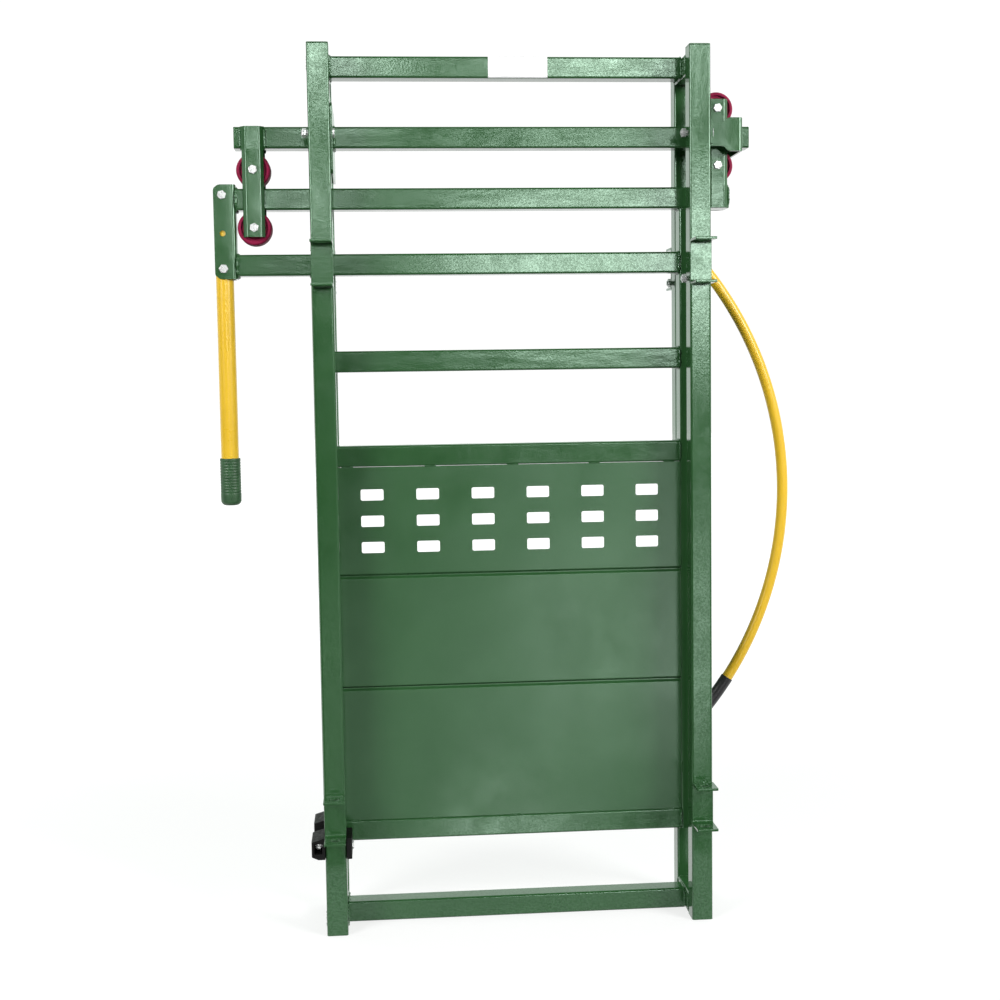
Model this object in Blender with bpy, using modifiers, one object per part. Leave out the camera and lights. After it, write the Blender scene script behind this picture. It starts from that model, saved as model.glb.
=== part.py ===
"""Rolling alley gate: a tube portal with a beam, and a panel gate that rolls along it.

Units are metres. X runs along the gate's travel, Y is the depth, Z is up.
The origin is the middle of the bottom rail, on the ground.
The gate is stored closed.
"""

import math

import bmesh
import bpy
from mathutils import Matrix, Vector

# General
FIT_GAP = 0.0003
TUBE = 0.0508
TUBE_WALL = 0.0032
TUBE_CORNER = 0.005
HALF_TUBE = TUBE / 2

# Portal frame
FRAME_WIDTH = 0.942
FRAME_HEIGHT = 2.108
POST_GAP = 0.127
CAP_THICKNESS = 0.003
TOP_RAIL_DROP = 0.0135
POST_X = FRAME_WIDTH / 2 - HALF_TUBE
POST_Y = POST_GAP / 2 + HALF_TUBE
POST_INNER_X = POST_X - HALF_TUBE
POST_OUTER_X = POST_X + HALF_TUBE
POST_FACE_Y = POST_Y + HALF_TUBE
TOP_RAIL_Z = FRAME_HEIGHT - TOP_RAIL_DROP - HALF_TUBE
LABEL_LENGTH = 0.142
LABEL_HEIGHT = 0.042
LABEL_THICKNESS = 0.0006
LABEL_X = 0.025

# Bolts, half inch
BOLT_RADIUS = 0.00635
BOLT_HEAD_FLATS = 0.019
BOLT_HEAD_HEIGHT = 0.008
BOLT_NUT_HEIGHT = 0.011
BOLT_TAIL = 0.005
BOLT_HOLE_RADIUS = BOLT_RADIUS + FIT_GAP

# Rollers
ROLLER_RADIUS = 0.0413
ROLLER_WIDTH = 0.050
TYRE_DEPTH = 0.010
TYRE_EDGE = 0.0025
TYRE_SHOULDER = 0.0055
HUB_RECESS = 0.008
HUB_SLEEVE_RADIUS = 0.0135
HUB_RIM = 0.005
HOLD_DOWN_CLEARANCE = 0.0015
ROLLER_SPACING = 2 * ROLLER_RADIUS + TUBE + FIT_GAP + HOLD_DOWN_CLEARANCE

# Track beam and hanger rail
BEAM_DROP = 0.2027
BEAM_Z = FRAME_HEIGHT - BEAM_DROP
BEAM_LEFT_X = -0.6486
BEAM_RIGHT_X = 0.5845
HANGER_DROP = 0.1437
HANGER_Z = BEAM_Z - HANGER_DROP

# Roller brackets, one pressed half in front and one behind
BRACKET_PLATE = 0.005
BRACKET_DEPTH = 0.012
BRACKET_WIDTH = 0.057
BRACKET_END_MARGIN = 0.0219
BRACKET_SEAT = 0.055
BRACKET_RELIEF = 0.003
AXLE_FAR = HANGER_DROP + TUBE + FIT_GAP + ROLLER_RADIUS
AXLE_NEAR = AXLE_FAR - ROLLER_SPACING
BRACKET_LENGTH = AXLE_FAR + BRACKET_END_MARGIN
BRACKET_FACE_Y = HALF_TUBE + BRACKET_DEPTH
FIXED_BRACKET_X = -0.605
FIXED_BRACKET_TOP = BEAM_Z + HALF_TUBE
MOVING_BRACKET_X = 0.505
MOVING_BRACKET_BOTTOM = HANGER_Z - HALF_TUBE
COLLAR_RADIUS = 0.011

# Saddle plate at the left posts
SADDLE_PLATE = 0.005
SADDLE_WIDTH = 0.212
SADDLE_HEIGHT = 0.163
SADDLE_DROP = 0.0128
SADDLE_CORNER = 0.010

# End bracket at the right posts
END_PLATE = 0.006
END_BEND = 0.004
END_FLANGE_Y = 0.108
END_SIDE_Y = 0.067
END_REACH_X = 0.559
END_FLANGE_HALF = 0.028
END_LEG_HALF = 0.0395
END_SWELL_START_X = 0.5086
END_SWELL_STOP_X = 0.5257

# Lugs, each pair bent from one plate
LUG_PROJECTION = 0.065
LUG_PLATE = 0.006
LUG_BEND = 0.004
LUG_ROOT = 0.001
LUG_HOLE_RADIUS = 0.013
LUG_HOLE_REACH = 0.035
LUG_SPACING = 0.0995
LUG_UPPER_DROP = 0.4535
LUG_UPPER_TOP = FRAME_HEIGHT - LUG_UPPER_DROP
LUG_LOWER_TOP = 0.3460

# Guide blocks at the left posts
GUIDE_LEFT_ARM = 0.032
GUIDE_RIGHT_ARM = 0.013
GUIDE_OVERHANG = 0.005
GUIDE_FACE_Y = 0.034
GUIDE_BOTTOM = 0.190
GUIDE_HEIGHT = 0.051
GUIDE_CHAMFER = 0.004
GUIDE_TOP_SLOPE = (0.027, 0.008)
GUIDE_FOOT_SLOPE = (0.016, 0.007)
GUIDE_BOLT_RISE = 0.0265
GUIDE_BOLT_Z = GUIDE_BOTTOM + GUIDE_BOLT_RISE
GUIDE_POCKET_WALL = 0.0065
GUIDE_POCKET_MARGIN = 0.0015

# Bolts through the right posts
CATCH_BOLT_DROP = 0.5445
CATCH_BOLT_Z = FRAME_HEIGHT - CATCH_BOLT_DROP

# Gate frame
STILE_LEFT_X = -0.4504
STILE_RIGHT_X = 0.4386
RAIL_B_DROP = 0.1544
RAIL_B_Z = HANGER_Z - RAIL_B_DROP
RAIL_D_Z = 1.1493
RAIL_C_SINK = 0.0016
RAIL_C_Z = (RAIL_B_Z + RAIL_D_Z) / 2 - RAIL_C_SINK
RAIL_E_Z = 0.2300
STILE_BOTTOM = RAIL_E_Z - HALF_TUBE
CHANNEL_WEB_X = -0.6485
HANGER_END_MARGIN = 0.0015
HANGER_RIGHT_X = MOVING_BRACKET_X + BRACKET_WIDTH / 2 + HANGER_END_MARGIN

# Panel sheet
SHEET_THICKNESS = 0.0025
SHEET_RECESS = 0.0015
GROOVE_HEIGHT = 0.013
GROOVE_DEPTH = 0.006
GROOVE_FLOOR = 0.004
GROOVE_ZS = (0.583, 0.858)
SLOT_LENGTH = 0.055
SLOT_HEIGHT = 0.027
SLOT_CORNER = 0.004
SLOT_FIRST_X = -0.3415
SLOT_PITCH_X = 0.1342
SLOT_COLUMNS = 6
SLOT_TOP_Z = 1.0559
SLOT_PITCH_Z = 0.06385
SLOT_ROWS = 3

# Handle at the left end
CHANNEL_WEB = 0.005
CHANNEL_FLANGE = 0.004
CHANNEL_BEND = 0.0045
CHANNEL_LENGTH = 0.0495
CHANNEL_RISE = 0.010
CHANNEL_FOOT = 0.0064
CHANNEL_CORNER = 0.014
CHANNEL_BOLT_INSET = 0.0245
CHANNEL_PEEP_RADIUS = 0.007
CHANNEL_PEEP_SINK = 0.0036
CHANNEL_TOP = HANGER_Z + HALF_TUBE + CHANNEL_RISE
CHANNEL_BOTTOM = RAIL_B_Z - HALF_TUBE - CHANNEL_FOOT
HANDLE_STAND_OFF = 0.0315
HANDLE_X = CHANNEL_WEB_X - HANDLE_STAND_OFF
HANDLE_RADIUS = HALF_TUBE - CHANNEL_FLANGE - FIT_GAP
HANDLE_WALL = 0.0035
HANDLE_LENGTH = 0.725
HANDLE_TOP_INSET = 0.012
HANDLE_TOP = CHANNEL_TOP - HANDLE_TOP_INSET
HANDLE_BOTTOM = HANDLE_TOP - HANDLE_LENGTH
GRIP_WALL = 0.0031
GRIP_RADIUS = HANDLE_RADIUS + FIT_GAP + GRIP_WALL
GRIP_OVERLAP = 0.0898
GRIP_TOP = HANDLE_BOTTOM + GRIP_OVERLAP
GRIP_END = 0.0235
GRIP_BOTTOM = HANDLE_BOTTOM - GRIP_END
GRIP_ROUND = 0.012

# Bow handle at the right end
BOW_RADIUS = 0.8577
BOW_REACH = 0.2361
BOW_APEX_X = STILE_RIGHT_X + BOW_REACH
BOW_DROP = 0.7126
BOW_APEX_Z = HANGER_Z - BOW_DROP
BOW_ROD_RADIUS = 0.01335
BOW_WALL = 0.0029
SLEEVE_RADIUS = 0.01525
SLEEVE_REACH = 0.070
BOW_FACE_X = STILE_RIGHT_X + HALF_TUBE + FIT_GAP

FINISHES = {
    "green_paint": ((0.055, 0.150, 0.070, 1), 0.28, 0.0),
    "zinc": ((0.72, 0.73, 0.74, 1), 0.32, 0.9),
    "yellow_paint": ((0.80, 0.62, 0.04, 1), 0.30, 0.0),
    "red_tyre": ((0.30, 0.010, 0.022, 1), 0.38, 0.0),
    "black_block": ((0.018, 0.018, 0.020, 1), 0.60, 0.0),
    "black_rubber": ((0.020, 0.020, 0.022, 1), 0.50, 0.0),
    "green_rubber": ((0.020, 0.075, 0.045, 1), 0.55, 0.0),
    "white_label": ((0.90, 0.90, 0.90, 1), 0.40, 0.0),
}


def clear_scene():
    for item in list(bpy.data.objects):
        bpy.data.objects.remove(item, do_unlink=True)


def new_collection(name):
    collection = bpy.data.collections.new(name)
    bpy.context.scene.collection.children.link(collection)
    return collection


clear_scene()
PARTS = new_collection("rolling_alley_gate")
CUTTERS = new_collection("cutters")


# Helpers for outlines

def rounded(corners, radius, steps=4):
    """Outline with an arc at every corner; a corner can carry its own radius as a third value."""
    points = []
    count = len(corners)
    for index, corner in enumerate(corners):
        here = Vector(corner[:2])
        before = (Vector(corners[index - 1][:2]) - here).normalized()
        after = (Vector(corners[(index + 1) % count][:2]) - here).normalized()
        size = corner[2] if len(corner) > 2 else radius
        half = before.angle(after) / 2
        if size <= 0 or half > math.radians(89.5):
            points.append(here)
            continue
        setback = size / math.tan(half)
        middle = here + (before + after).normalized() * size / math.sin(half)
        start = here + before * setback - middle
        stop = here + after * setback - middle
        turn = start.angle_signed(stop)
        for step in range(steps + 1):
            points.append(middle + Matrix.Rotation(-turn * step / steps, 2) @ start)
    return points


def rectangle(width, height, centre=(0, 0), corner=0, steps=4):
    x, y = centre
    w, h = width / 2, height / 2
    return rounded([(x - w, y - h), (x + w, y - h), (x + w, y + h), (x - w, y + h)], corner, steps)


def circle(radius, centre=(0, 0), steps=24):
    return [
        Vector((centre[0] + radius * math.cos(2 * math.pi * k / steps),
                centre[1] + radius * math.sin(2 * math.pi * k / steps)))
        for k in range(steps)
    ]


def strip(path, thickness, bend):
    """Outline of a bent strip: path is its middle line, bend its inner bend radius."""
    path = [Vector(point) for point in path]
    sides = {1: [], -1: []}
    for index, here in enumerate(path):
        along_in = (here - path[index - 1]).normalized() if index else None
        along_out = (path[index + 1] - here).normalized() if index + 1 < len(path) else None
        first = along_in or along_out
        last = along_out or along_in
        normal_in = Vector((-first.y, first.x))
        normal_out = Vector((-last.y, last.x))
        mitre = (normal_in + normal_out).normalized()
        reach = thickness / 2 / mitre.dot(normal_in)
        turn = first.cross(last)
        for side in sides:
            place = here + mitre * reach * side
            if not (along_in and along_out):
                sides[side].append((place.x, place.y, 0))
                continue
            inner = turn * side > 0
            sides[side].append((place.x, place.y, bend if inner else bend + thickness))
    return rounded(sides[1] + sides[-1][::-1], 0)


# Helpers for solids

AXES = {
    "X": Matrix(((0, 0, 1, 0), (1, 0, 0, 0), (0, 1, 0, 0), (0, 0, 0, 1))),
    "Y": Matrix(((1, 0, 0, 0), (0, 0, -1, 0), (0, 1, 0, 0), (0, 0, 0, 1))),
    "Z": Matrix.Identity(4),
}


def finish_material(name, finish):
    colour, roughness, metallic = FINISHES[finish]
    material = bpy.data.materials.new(name + "_" + finish)
    material.use_nodes = True
    material.diffuse_color = colour
    shader = material.node_tree.nodes["Principled BSDF"]
    shader.inputs["Base Color"].default_value = colour
    shader.inputs["Roughness"].default_value = roughness
    shader.inputs["Metallic"].default_value = metallic
    return material


def place_part(name, mesh, finish, matrix=None, smooth=False):
    part = bpy.data.objects.new(name, mesh)
    part.matrix_world = matrix or Matrix.Identity(4)
    PARTS.objects.link(part)
    mesh.materials.clear()
    mesh.materials.append(finish_material(name, finish))
    if smooth:
        mesh.shade_smooth()
        mesh.set_sharp_from_angle(angle=math.radians(35))
    return part


def place_cutter(name, mesh, matrix=None):
    cutter = bpy.data.objects.new(name, mesh)
    cutter.matrix_world = matrix or Matrix.Identity(4)
    cutter.hide_render = True
    cutter.display_type = "WIRE"
    CUTTERS.objects.link(cutter)
    return cutter


def cut(part, cutter, operation="DIFFERENCE"):
    modifier = part.modifiers.new("cut_" + cutter.name, "BOOLEAN")
    modifier.operation = operation
    modifier.solver = "EXACT"
    modifier.object = cutter


def weld(mesh):
    work = bmesh.new()
    work.from_mesh(mesh)
    bmesh.ops.remove_doubles(work, verts=work.verts, dist=0.00001)
    bmesh.ops.recalc_face_normals(work, faces=work.faces)
    work.to_mesh(mesh)
    work.free()


def baked_mesh(item):
    """Mesh of an item with its modifiers, in world places; the item is removed."""
    graph = bpy.context.evaluated_depsgraph_get()
    evaluated = item.evaluated_get(graph)
    mesh = bpy.data.meshes.new_from_object(evaluated)
    mesh.transform(item.matrix_world)
    bpy.data.objects.remove(item, do_unlink=True)
    weld(mesh)
    return mesh


def flat_mesh(loops, depth):
    """Mesh of an outline with holes, as deep as given, in its own XY plane."""
    curve = bpy.data.curves.new("outline", "CURVE")
    curve.dimensions = "2D"
    curve.fill_mode = "BOTH"
    curve.extrude = depth / 2
    for loop in loops:
        spline = curve.splines.new("POLY")
        spline.points.add(len(loop) - 1)
        for point, place in zip(spline.points, loop):
            point.co = (place[0], place[1], 0, 1)
        spline.use_cyclic_u = True
    item = bpy.data.objects.new("outline", curve)
    PARTS.objects.link(item)
    return baked_mesh(item)


def flat_frame(axis, centre):
    return Matrix.Translation(centre) @ AXES[axis]


def flat_part(name, loops, depth, axis, centre, finish="green_paint", smooth=False):
    return place_part(name, flat_mesh(loops, depth), finish, flat_frame(axis, centre), smooth)


def flat_cutter(name, loops, depth, axis, centre):
    return place_cutter(name, flat_mesh(loops, depth), flat_frame(axis, centre))


def tube_part(name, axis, start, stop, across):
    """Square tube from start to stop on its axis; across holds its two other coordinates."""
    loops = [
        rectangle(TUBE, TUBE, (0, 0), TUBE_CORNER),
        rectangle(TUBE - 2 * TUBE_WALL, TUBE - 2 * TUBE_WALL, (0, 0), TUBE_CORNER - TUBE_WALL, 2),
    ]
    middle = (start + stop) / 2
    centre = {
        "X": (middle, across[0], across[1]),
        "Y": (across[0], middle, across[1]),
        "Z": (across[0], across[1], middle),
    }[axis]
    return flat_part(name, loops, stop - start, axis, centre)


def joined_mesh(pieces):
    """One mesh from (mesh, matrix) pairs, each pair a closed solid of its own."""
    work = bmesh.new()
    for mesh, matrix in pieces:
        copy = mesh.copy()
        copy.transform(matrix)
        work.from_mesh(copy)
        bpy.data.meshes.remove(copy)
    mesh = bpy.data.meshes.new("group")
    work.to_mesh(mesh)
    work.free()
    return mesh


def round_cutter(name, radius, length, axis, centres):
    """Straight round cutters of one size at several places, as one item."""
    hole = flat_mesh([circle(radius, steps=16)], length)
    pieces = [(hole, flat_frame(axis, centre)) for centre in centres]
    return place_cutter(name, joined_mesh(pieces))


def primitive(name, segments, radius, start, stop):
    work = bmesh.new()
    bmesh.ops.create_cone(
        work, cap_ends=True, segments=segments, radius1=radius, radius2=radius, depth=stop - start
    )
    bmesh.ops.translate(work, verts=work.verts, vec=(0, 0, (start + stop) / 2))
    mesh = bpy.data.meshes.new(name)
    work.to_mesh(mesh)
    work.free()
    item = bpy.data.objects.new(name, mesh)
    PARTS.objects.link(item)
    return item


def bolt_mesh(grip, collars):
    """Bolt with its nut and spacer collars: it clamps from 0 to grip on Z, with its head below 0."""
    corner = BOLT_HEAD_FLATS / math.sqrt(3)
    head_top = -FIT_GAP
    nut_bottom = grip + FIT_GAP
    nut_top = nut_bottom + BOLT_NUT_HEIGHT
    shank = primitive("shank", 16, BOLT_RADIUS, head_top - BOLT_HEAD_HEIGHT / 2, nut_top + BOLT_TAIL)
    head = primitive("head", 6, corner, head_top - BOLT_HEAD_HEIGHT, head_top)
    nut = primitive("nut", 6, corner, nut_bottom, nut_top)
    others = [head, nut]
    for start, stop in collars:
        others.append(primitive("collar", 20, COLLAR_RADIUS, start, stop))
    for other in others:
        cut(shank, other, "UNION")
    mesh = baked_mesh(shank)
    for other in others:
        bpy.data.objects.remove(other, do_unlink=True)
    return mesh


def place_bolts(grip, places, direction, collars=()):
    """Bolts of one length, by name; each place is the face under its head, direction goes to its nut."""
    mesh = bolt_mesh(grip, collars)
    turn = Vector(direction).to_track_quat("Z", "Y").to_matrix().to_4x4()
    for name, place in places.items():
        place_part(name, mesh.copy(), "zinc", Matrix.Translation(place) @ turn)


def turned_part(name, profile, finish, matrix, steps, closed):
    """Round piece from a profile of (radius, height) points, turned about Z."""
    mesh = bpy.data.meshes.new(name)
    edges = [(k, k + 1) for k in range(len(profile) - 1)]
    if closed:
        edges.append((len(profile) - 1, 0))
    mesh.from_pydata([(radius, 0, height) for radius, height in profile], edges, [])
    part = place_part(name, mesh, finish, matrix)
    screw = part.modifiers.new("turn", "SCREW")
    screw.axis = "Z"
    screw.angle = 2 * math.pi
    screw.steps = steps
    screw.render_steps = steps
    screw.use_merge_vertices = True
    screw.merge_threshold = 0.00001
    screw.use_smooth_shade = True
    return part


# Portal frame

SIDES = {"front": -1, "rear": 1}
POSTS = {
    "front_left_post": (-1, -1),
    "front_right_post": (1, -1),
    "rear_left_post": (-1, 1),
    "rear_right_post": (1, 1),
}
through_length = TUBE * 3
left_bolt_places = [(-POST_X, side * POST_Y, BEAM_Z) for side in (-1, 1)]
right_bolt_places = [(POST_X, side * POST_Y, BEAM_Z) for side in (-1, 1)]
guide_bolt_places = [(-POST_X, side * POST_Y, GUIDE_BOLT_Z) for side in (-1, 1)]
catch_bolt_places = [(POST_X, side * POST_Y, CATCH_BOLT_Z) for side in (-1, 1)]
post_holes = round_cutter(
    "post_bolt_holes", BOLT_HOLE_RADIUS, through_length, "X",
    left_bolt_places + right_bolt_places + guide_bolt_places + catch_bolt_places,
)
lug_holes = round_cutter(
    "lug_holes", LUG_HOLE_RADIUS, 2 * LUG_SPACING, "Z",
    [
        (side_x * POST_X, side_y * (POST_FACE_Y + LUG_HOLE_REACH), top - LUG_SPACING / 2)
        for side_x, side_y in POSTS.values()
        for top in (LUG_UPPER_TOP, LUG_LOWER_TOP)
    ],
)


def lug_shapes(name, side_x, side_y):
    """Both bent lug plates of one post, let a little way into its wall to become one with it."""
    web_y = side_y * (POST_FACE_Y - LUG_ROOT + LUG_PLATE / 2)
    tip_y = side_y * (POST_FACE_Y + LUG_PROJECTION)
    pieces = []
    for top in (LUG_UPPER_TOP, LUG_LOWER_TOP):
        high_z = top - LUG_PLATE / 2
        low_z = high_z - LUG_SPACING
        path = [(tip_y, high_z), (web_y, high_z), (web_y, low_z), (tip_y, low_z)]
        mesh = flat_mesh([strip(path, LUG_PLATE, LUG_BEND)], TUBE)
        pieces.append((mesh, flat_frame("X", (side_x * POST_X, 0, 0))))
    return place_cutter(name, joined_mesh(pieces))


for post_name, (side_x, side_y) in POSTS.items():
    post = tube_part(
        post_name, "Z", 0, FRAME_HEIGHT - CAP_THICKNESS - FIT_GAP, (side_x * POST_X, side_y * POST_Y)
    )
    cut(post, lug_shapes(post_name.replace("post", "lugs"), side_x, side_y), "UNION")
    cut(post, post_holes)
    cut(post, lug_holes)
    flat_part(
        post_name + "_cap", [rectangle(TUBE, TUBE, (0, 0), TUBE_CORNER)], CAP_THICKNESS, "Z",
        (side_x * POST_X, side_y * POST_Y, FRAME_HEIGHT - CAP_THICKNESS / 2),
    )

spacer_half = POST_GAP / 2 - FIT_GAP
for side_name, side in (("left", -1), ("right", 1)):
    tube_part("top_spacer_" + side_name, "Y", -spacer_half, spacer_half, (side * POST_X, TOP_RAIL_Z))
    tube_part("bottom_spacer_" + side_name, "Y", -spacer_half, spacer_half, (side * POST_X, HALF_TUBE))

rail_half = POST_INNER_X - FIT_GAP
tube_part("top_rail", "X", -rail_half, rail_half, (0, TOP_RAIL_Z))
tube_part("bottom_rail", "X", -rail_half, rail_half, (0, HALF_TUBE))
flat_part(
    "blank_label", [rectangle(LABEL_LENGTH, LABEL_HEIGHT, (0, 0), 0.003)], LABEL_THICKNESS, "Y",
    (LABEL_X, -HALF_TUBE - FIT_GAP - LABEL_THICKNESS / 2, TOP_RAIL_Z), "white_label",
)

# Track beam and what holds it

tube_part("track_beam", "X", BEAM_LEFT_X, BEAM_RIGHT_X, (0, BEAM_Z))
beam_window = rectangle(TUBE + 2 * FIT_GAP, TUBE + 2 * FIT_GAP, (0, 0), TUBE_CORNER)

saddle_x = -POST_INNER_X + FIT_GAP + SADDLE_PLATE / 2
saddle_loops = [
    rectangle(SADDLE_WIDTH, SADDLE_HEIGHT, (0, -SADDLE_DROP), SADDLE_CORNER),
    beam_window,
    circle(BOLT_HOLE_RADIUS, (-POST_Y, 0), 16),
    circle(BOLT_HOLE_RADIUS, (POST_Y, 0), 16),
]
flat_part("beam_saddle_plate", saddle_loops, SADDLE_PLATE, "X", (saddle_x, 0, BEAM_Z))
saddle_grip = TUBE + 2 * FIT_GAP + SADDLE_PLATE
saddle_head_x = -POST_OUTER_X + saddle_grip
place_bolts(
    saddle_grip,
    {"saddle_bolt_" + name: (saddle_head_x, side * POST_Y, BEAM_Z) for name, side in SIDES.items()},
    (-1, 0, 0),
)

flange_x = POST_OUTER_X + FIT_GAP + END_PLATE / 2
leg_x = END_REACH_X - END_PLATE / 2
end_path = [
    (flange_x, -END_FLANGE_Y),
    (flange_x, -END_SIDE_Y),
    (leg_x, -END_SIDE_Y),
    (leg_x, END_SIDE_Y),
    (flange_x, END_SIDE_Y),
    (flange_x, END_FLANGE_Y),
]
end_bracket = flat_part(
    "beam_end_bracket", [strip(end_path, END_PLATE, END_BEND)], 2 * END_LEG_HALF, "Z", (0, 0, BEAM_Z)
)


def swell_outline(side):
    """Area to take off above (side 1) or below (side -1) the narrow part of the end bracket."""
    length = END_SWELL_STOP_X - END_SWELL_START_X
    rise = END_LEG_HALF - END_FLANGE_HALF
    outline = [(POST_X, side * END_FLANGE_HALF)]
    for step in range(9):
        share = step / 8
        height = END_FLANGE_HALF + rise * (1 - math.cos(math.pi * share)) / 2
        outline.append((END_SWELL_START_X + length * share, side * height))
    outline.append((END_SWELL_STOP_X, side * 2 * END_LEG_HALF))
    outline.append((POST_X, side * 2 * END_LEG_HALF))
    return outline


for side_name, side in (("above", 1), ("below", -1)):
    cut(end_bracket, flat_cutter(
        "end_bracket_trim_" + side_name, [swell_outline(side)], 4 * END_FLANGE_Y, "Y", (0, 0, BEAM_Z)
    ))
cut(end_bracket, flat_cutter("end_bracket_window", [beam_window], 4 * END_PLATE, "X", (leg_x, 0, BEAM_Z)))
cut(end_bracket, round_cutter(
    "end_bracket_holes", BOLT_HOLE_RADIUS, 4 * END_PLATE, "X",
    [(flange_x, side * POST_Y, BEAM_Z) for side in (-1, 1)],
))
end_grip = TUBE + 2 * FIT_GAP + END_PLATE
end_head_x = POST_INNER_X + end_grip
place_bolts(
    end_grip,
    {"end_bracket_bolt_" + name: (end_head_x, side * POST_Y, BEAM_Z) for name, side in SIDES.items()},
    (-1, 0, 0),
)

# Roller brackets


def bracket_half(name, centre_x, seat_end_z, way, side):
    """One pressed half. way is -1 when it hangs down from its seat, 1 when it stands up from it."""
    edge = HALF_TUBE + FIT_GAP
    slant = BRACKET_PLATE * math.sqrt(2)
    half = BRACKET_WIDTH / 2
    outer_run = BRACKET_FACE_Y - edge
    inner_run = outer_run - BRACKET_PLATE
    outline = [
        (-half, -edge, 0),
        (-half + outer_run, -BRACKET_FACE_Y, 0.006),
        (half - outer_run, -BRACKET_FACE_Y, 0.006),
        (half, -edge, 0),
        (half - slant, -edge, 0),
        (half - slant - inner_run, -BRACKET_FACE_Y + BRACKET_PLATE, 0.002),
        (-half + slant + inner_run, -BRACKET_FACE_Y + BRACKET_PLATE, 0.002),
        (-half + slant, -edge, 0),
    ]
    loop = rounded([(x, -side * y, r) for x, y, r in outline], 0)
    middle = seat_end_z + way * BRACKET_LENGTH / 2
    part = flat_part(name, [loop], BRACKET_LENGTH, "Z", (centre_x, 0, middle))
    relief_length = BRACKET_LENGTH - BRACKET_SEAT
    relief = flat_cutter(
        name + "_relief",
        [rectangle(2 * BRACKET_WIDTH, 2 * (edge + BRACKET_RELIEF))],
        relief_length + BRACKET_SEAT, "Z",
        (centre_x, 0, seat_end_z + way * (BRACKET_SEAT + (relief_length + BRACKET_SEAT) / 2)),
    )
    cut(part, relief)
    return part


def axle_heights(seat_end_z, way):
    return (seat_end_z + way * AXLE_NEAR, seat_end_z + way * AXLE_FAR)


BRACKETS = {
    "fixed": (FIXED_BRACKET_X, FIXED_BRACKET_TOP, -1),
    "moving": (MOVING_BRACKET_X, MOVING_BRACKET_BOTTOM, 1),
}
for bracket_name, (bracket_x, seat_z, way) in BRACKETS.items():
    axle_places = [(bracket_x, 0, height) for height in axle_heights(seat_z, way)]
    axle_holes = round_cutter(
        bracket_name + "_axle_holes", BOLT_HOLE_RADIUS, 4 * BRACKET_FACE_Y, "Y", axle_places
    )
    for half_name, side in SIDES.items():
        half_part = bracket_half(bracket_name + "_bracket_" + half_name, bracket_x, seat_z, way, side)
        cut(half_part, axle_holes)
    low_place, high_place = sorted(axle_places, key=lambda place: place[2])
    web_inside = BRACKET_PLATE + FIT_GAP
    roller_side = BRACKET_FACE_Y - ROLLER_WIDTH / 2 - FIT_GAP
    full_grip = 2 * BRACKET_FACE_Y
    place_bolts(
        full_grip,
        {
            bracket_name + "_lower_axle": (bracket_x, -BRACKET_FACE_Y, low_place[2]),
            bracket_name + "_upper_axle": (bracket_x, -BRACKET_FACE_Y, high_place[2]),
        },
        (0, 1, 0),
        [(web_inside, roller_side), (full_grip - roller_side, full_grip - web_inside)],
    )

# Rollers


def roller(name, centre):
    """Tyre on a hub with recessed sides, both with their origin on the axle."""
    matrix = Matrix.Translation(centre) @ Matrix.Rotation(math.radians(90), 4, "X")
    half = ROLLER_WIDTH / 2
    seat = ROLLER_RADIUS - TYRE_DEPTH
    shoulder = TYRE_SHOULDER * (1 - math.cos(math.radians(45)))
    tyre_profile = [
        (seat, half - TYRE_EDGE),
        (seat + TYRE_EDGE, half),
        (ROLLER_RADIUS - TYRE_SHOULDER, half),
        (ROLLER_RADIUS - shoulder, half - shoulder),
        (ROLLER_RADIUS, half - TYRE_SHOULDER),
        (ROLLER_RADIUS, -half + TYRE_SHOULDER),
        (ROLLER_RADIUS - shoulder, -half + shoulder),
        (ROLLER_RADIUS - TYRE_SHOULDER, -half),
        (seat + TYRE_EDGE, -half),
        (seat, -half + TYRE_EDGE),
    ]
    turned_part(name + "_tyre", tyre_profile, "red_tyre", matrix, 48, True)
    rim = seat - FIT_GAP
    side = half - TYRE_EDGE
    floor = side - HUB_RECESS
    hub_profile = [
        (BOLT_HOLE_RADIUS, half),
        (HUB_SLEEVE_RADIUS, half),
        (HUB_SLEEVE_RADIUS, floor),
        (rim - HUB_RIM, floor),
        (rim - HUB_RIM, side),
        (rim, side),
        (rim, -side),
        (rim - HUB_RIM, -side),
        (rim - HUB_RIM, -floor),
        (HUB_SLEEVE_RADIUS, -floor),
        (HUB_SLEEVE_RADIUS, -half),
        (BOLT_HOLE_RADIUS, -half),
    ]
    turned_part(name + "_hub", hub_profile, "red_tyre", matrix, 32, True)


fixed_upper_z, fixed_lower_z = axle_heights(FIXED_BRACKET_TOP, -1)
moving_lower_z, moving_upper_z = axle_heights(MOVING_BRACKET_BOTTOM, 1)
roller("fixed_upper", (FIXED_BRACKET_X, 0, fixed_upper_z))
roller("fixed_lower", (FIXED_BRACKET_X, 0, fixed_lower_z))
roller("moving_upper", (MOVING_BRACKET_X, 0, moving_upper_z))
roller("moving_lower", (MOVING_BRACKET_X, 0, moving_lower_z))

# Guide blocks and plain post bolts

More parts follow.
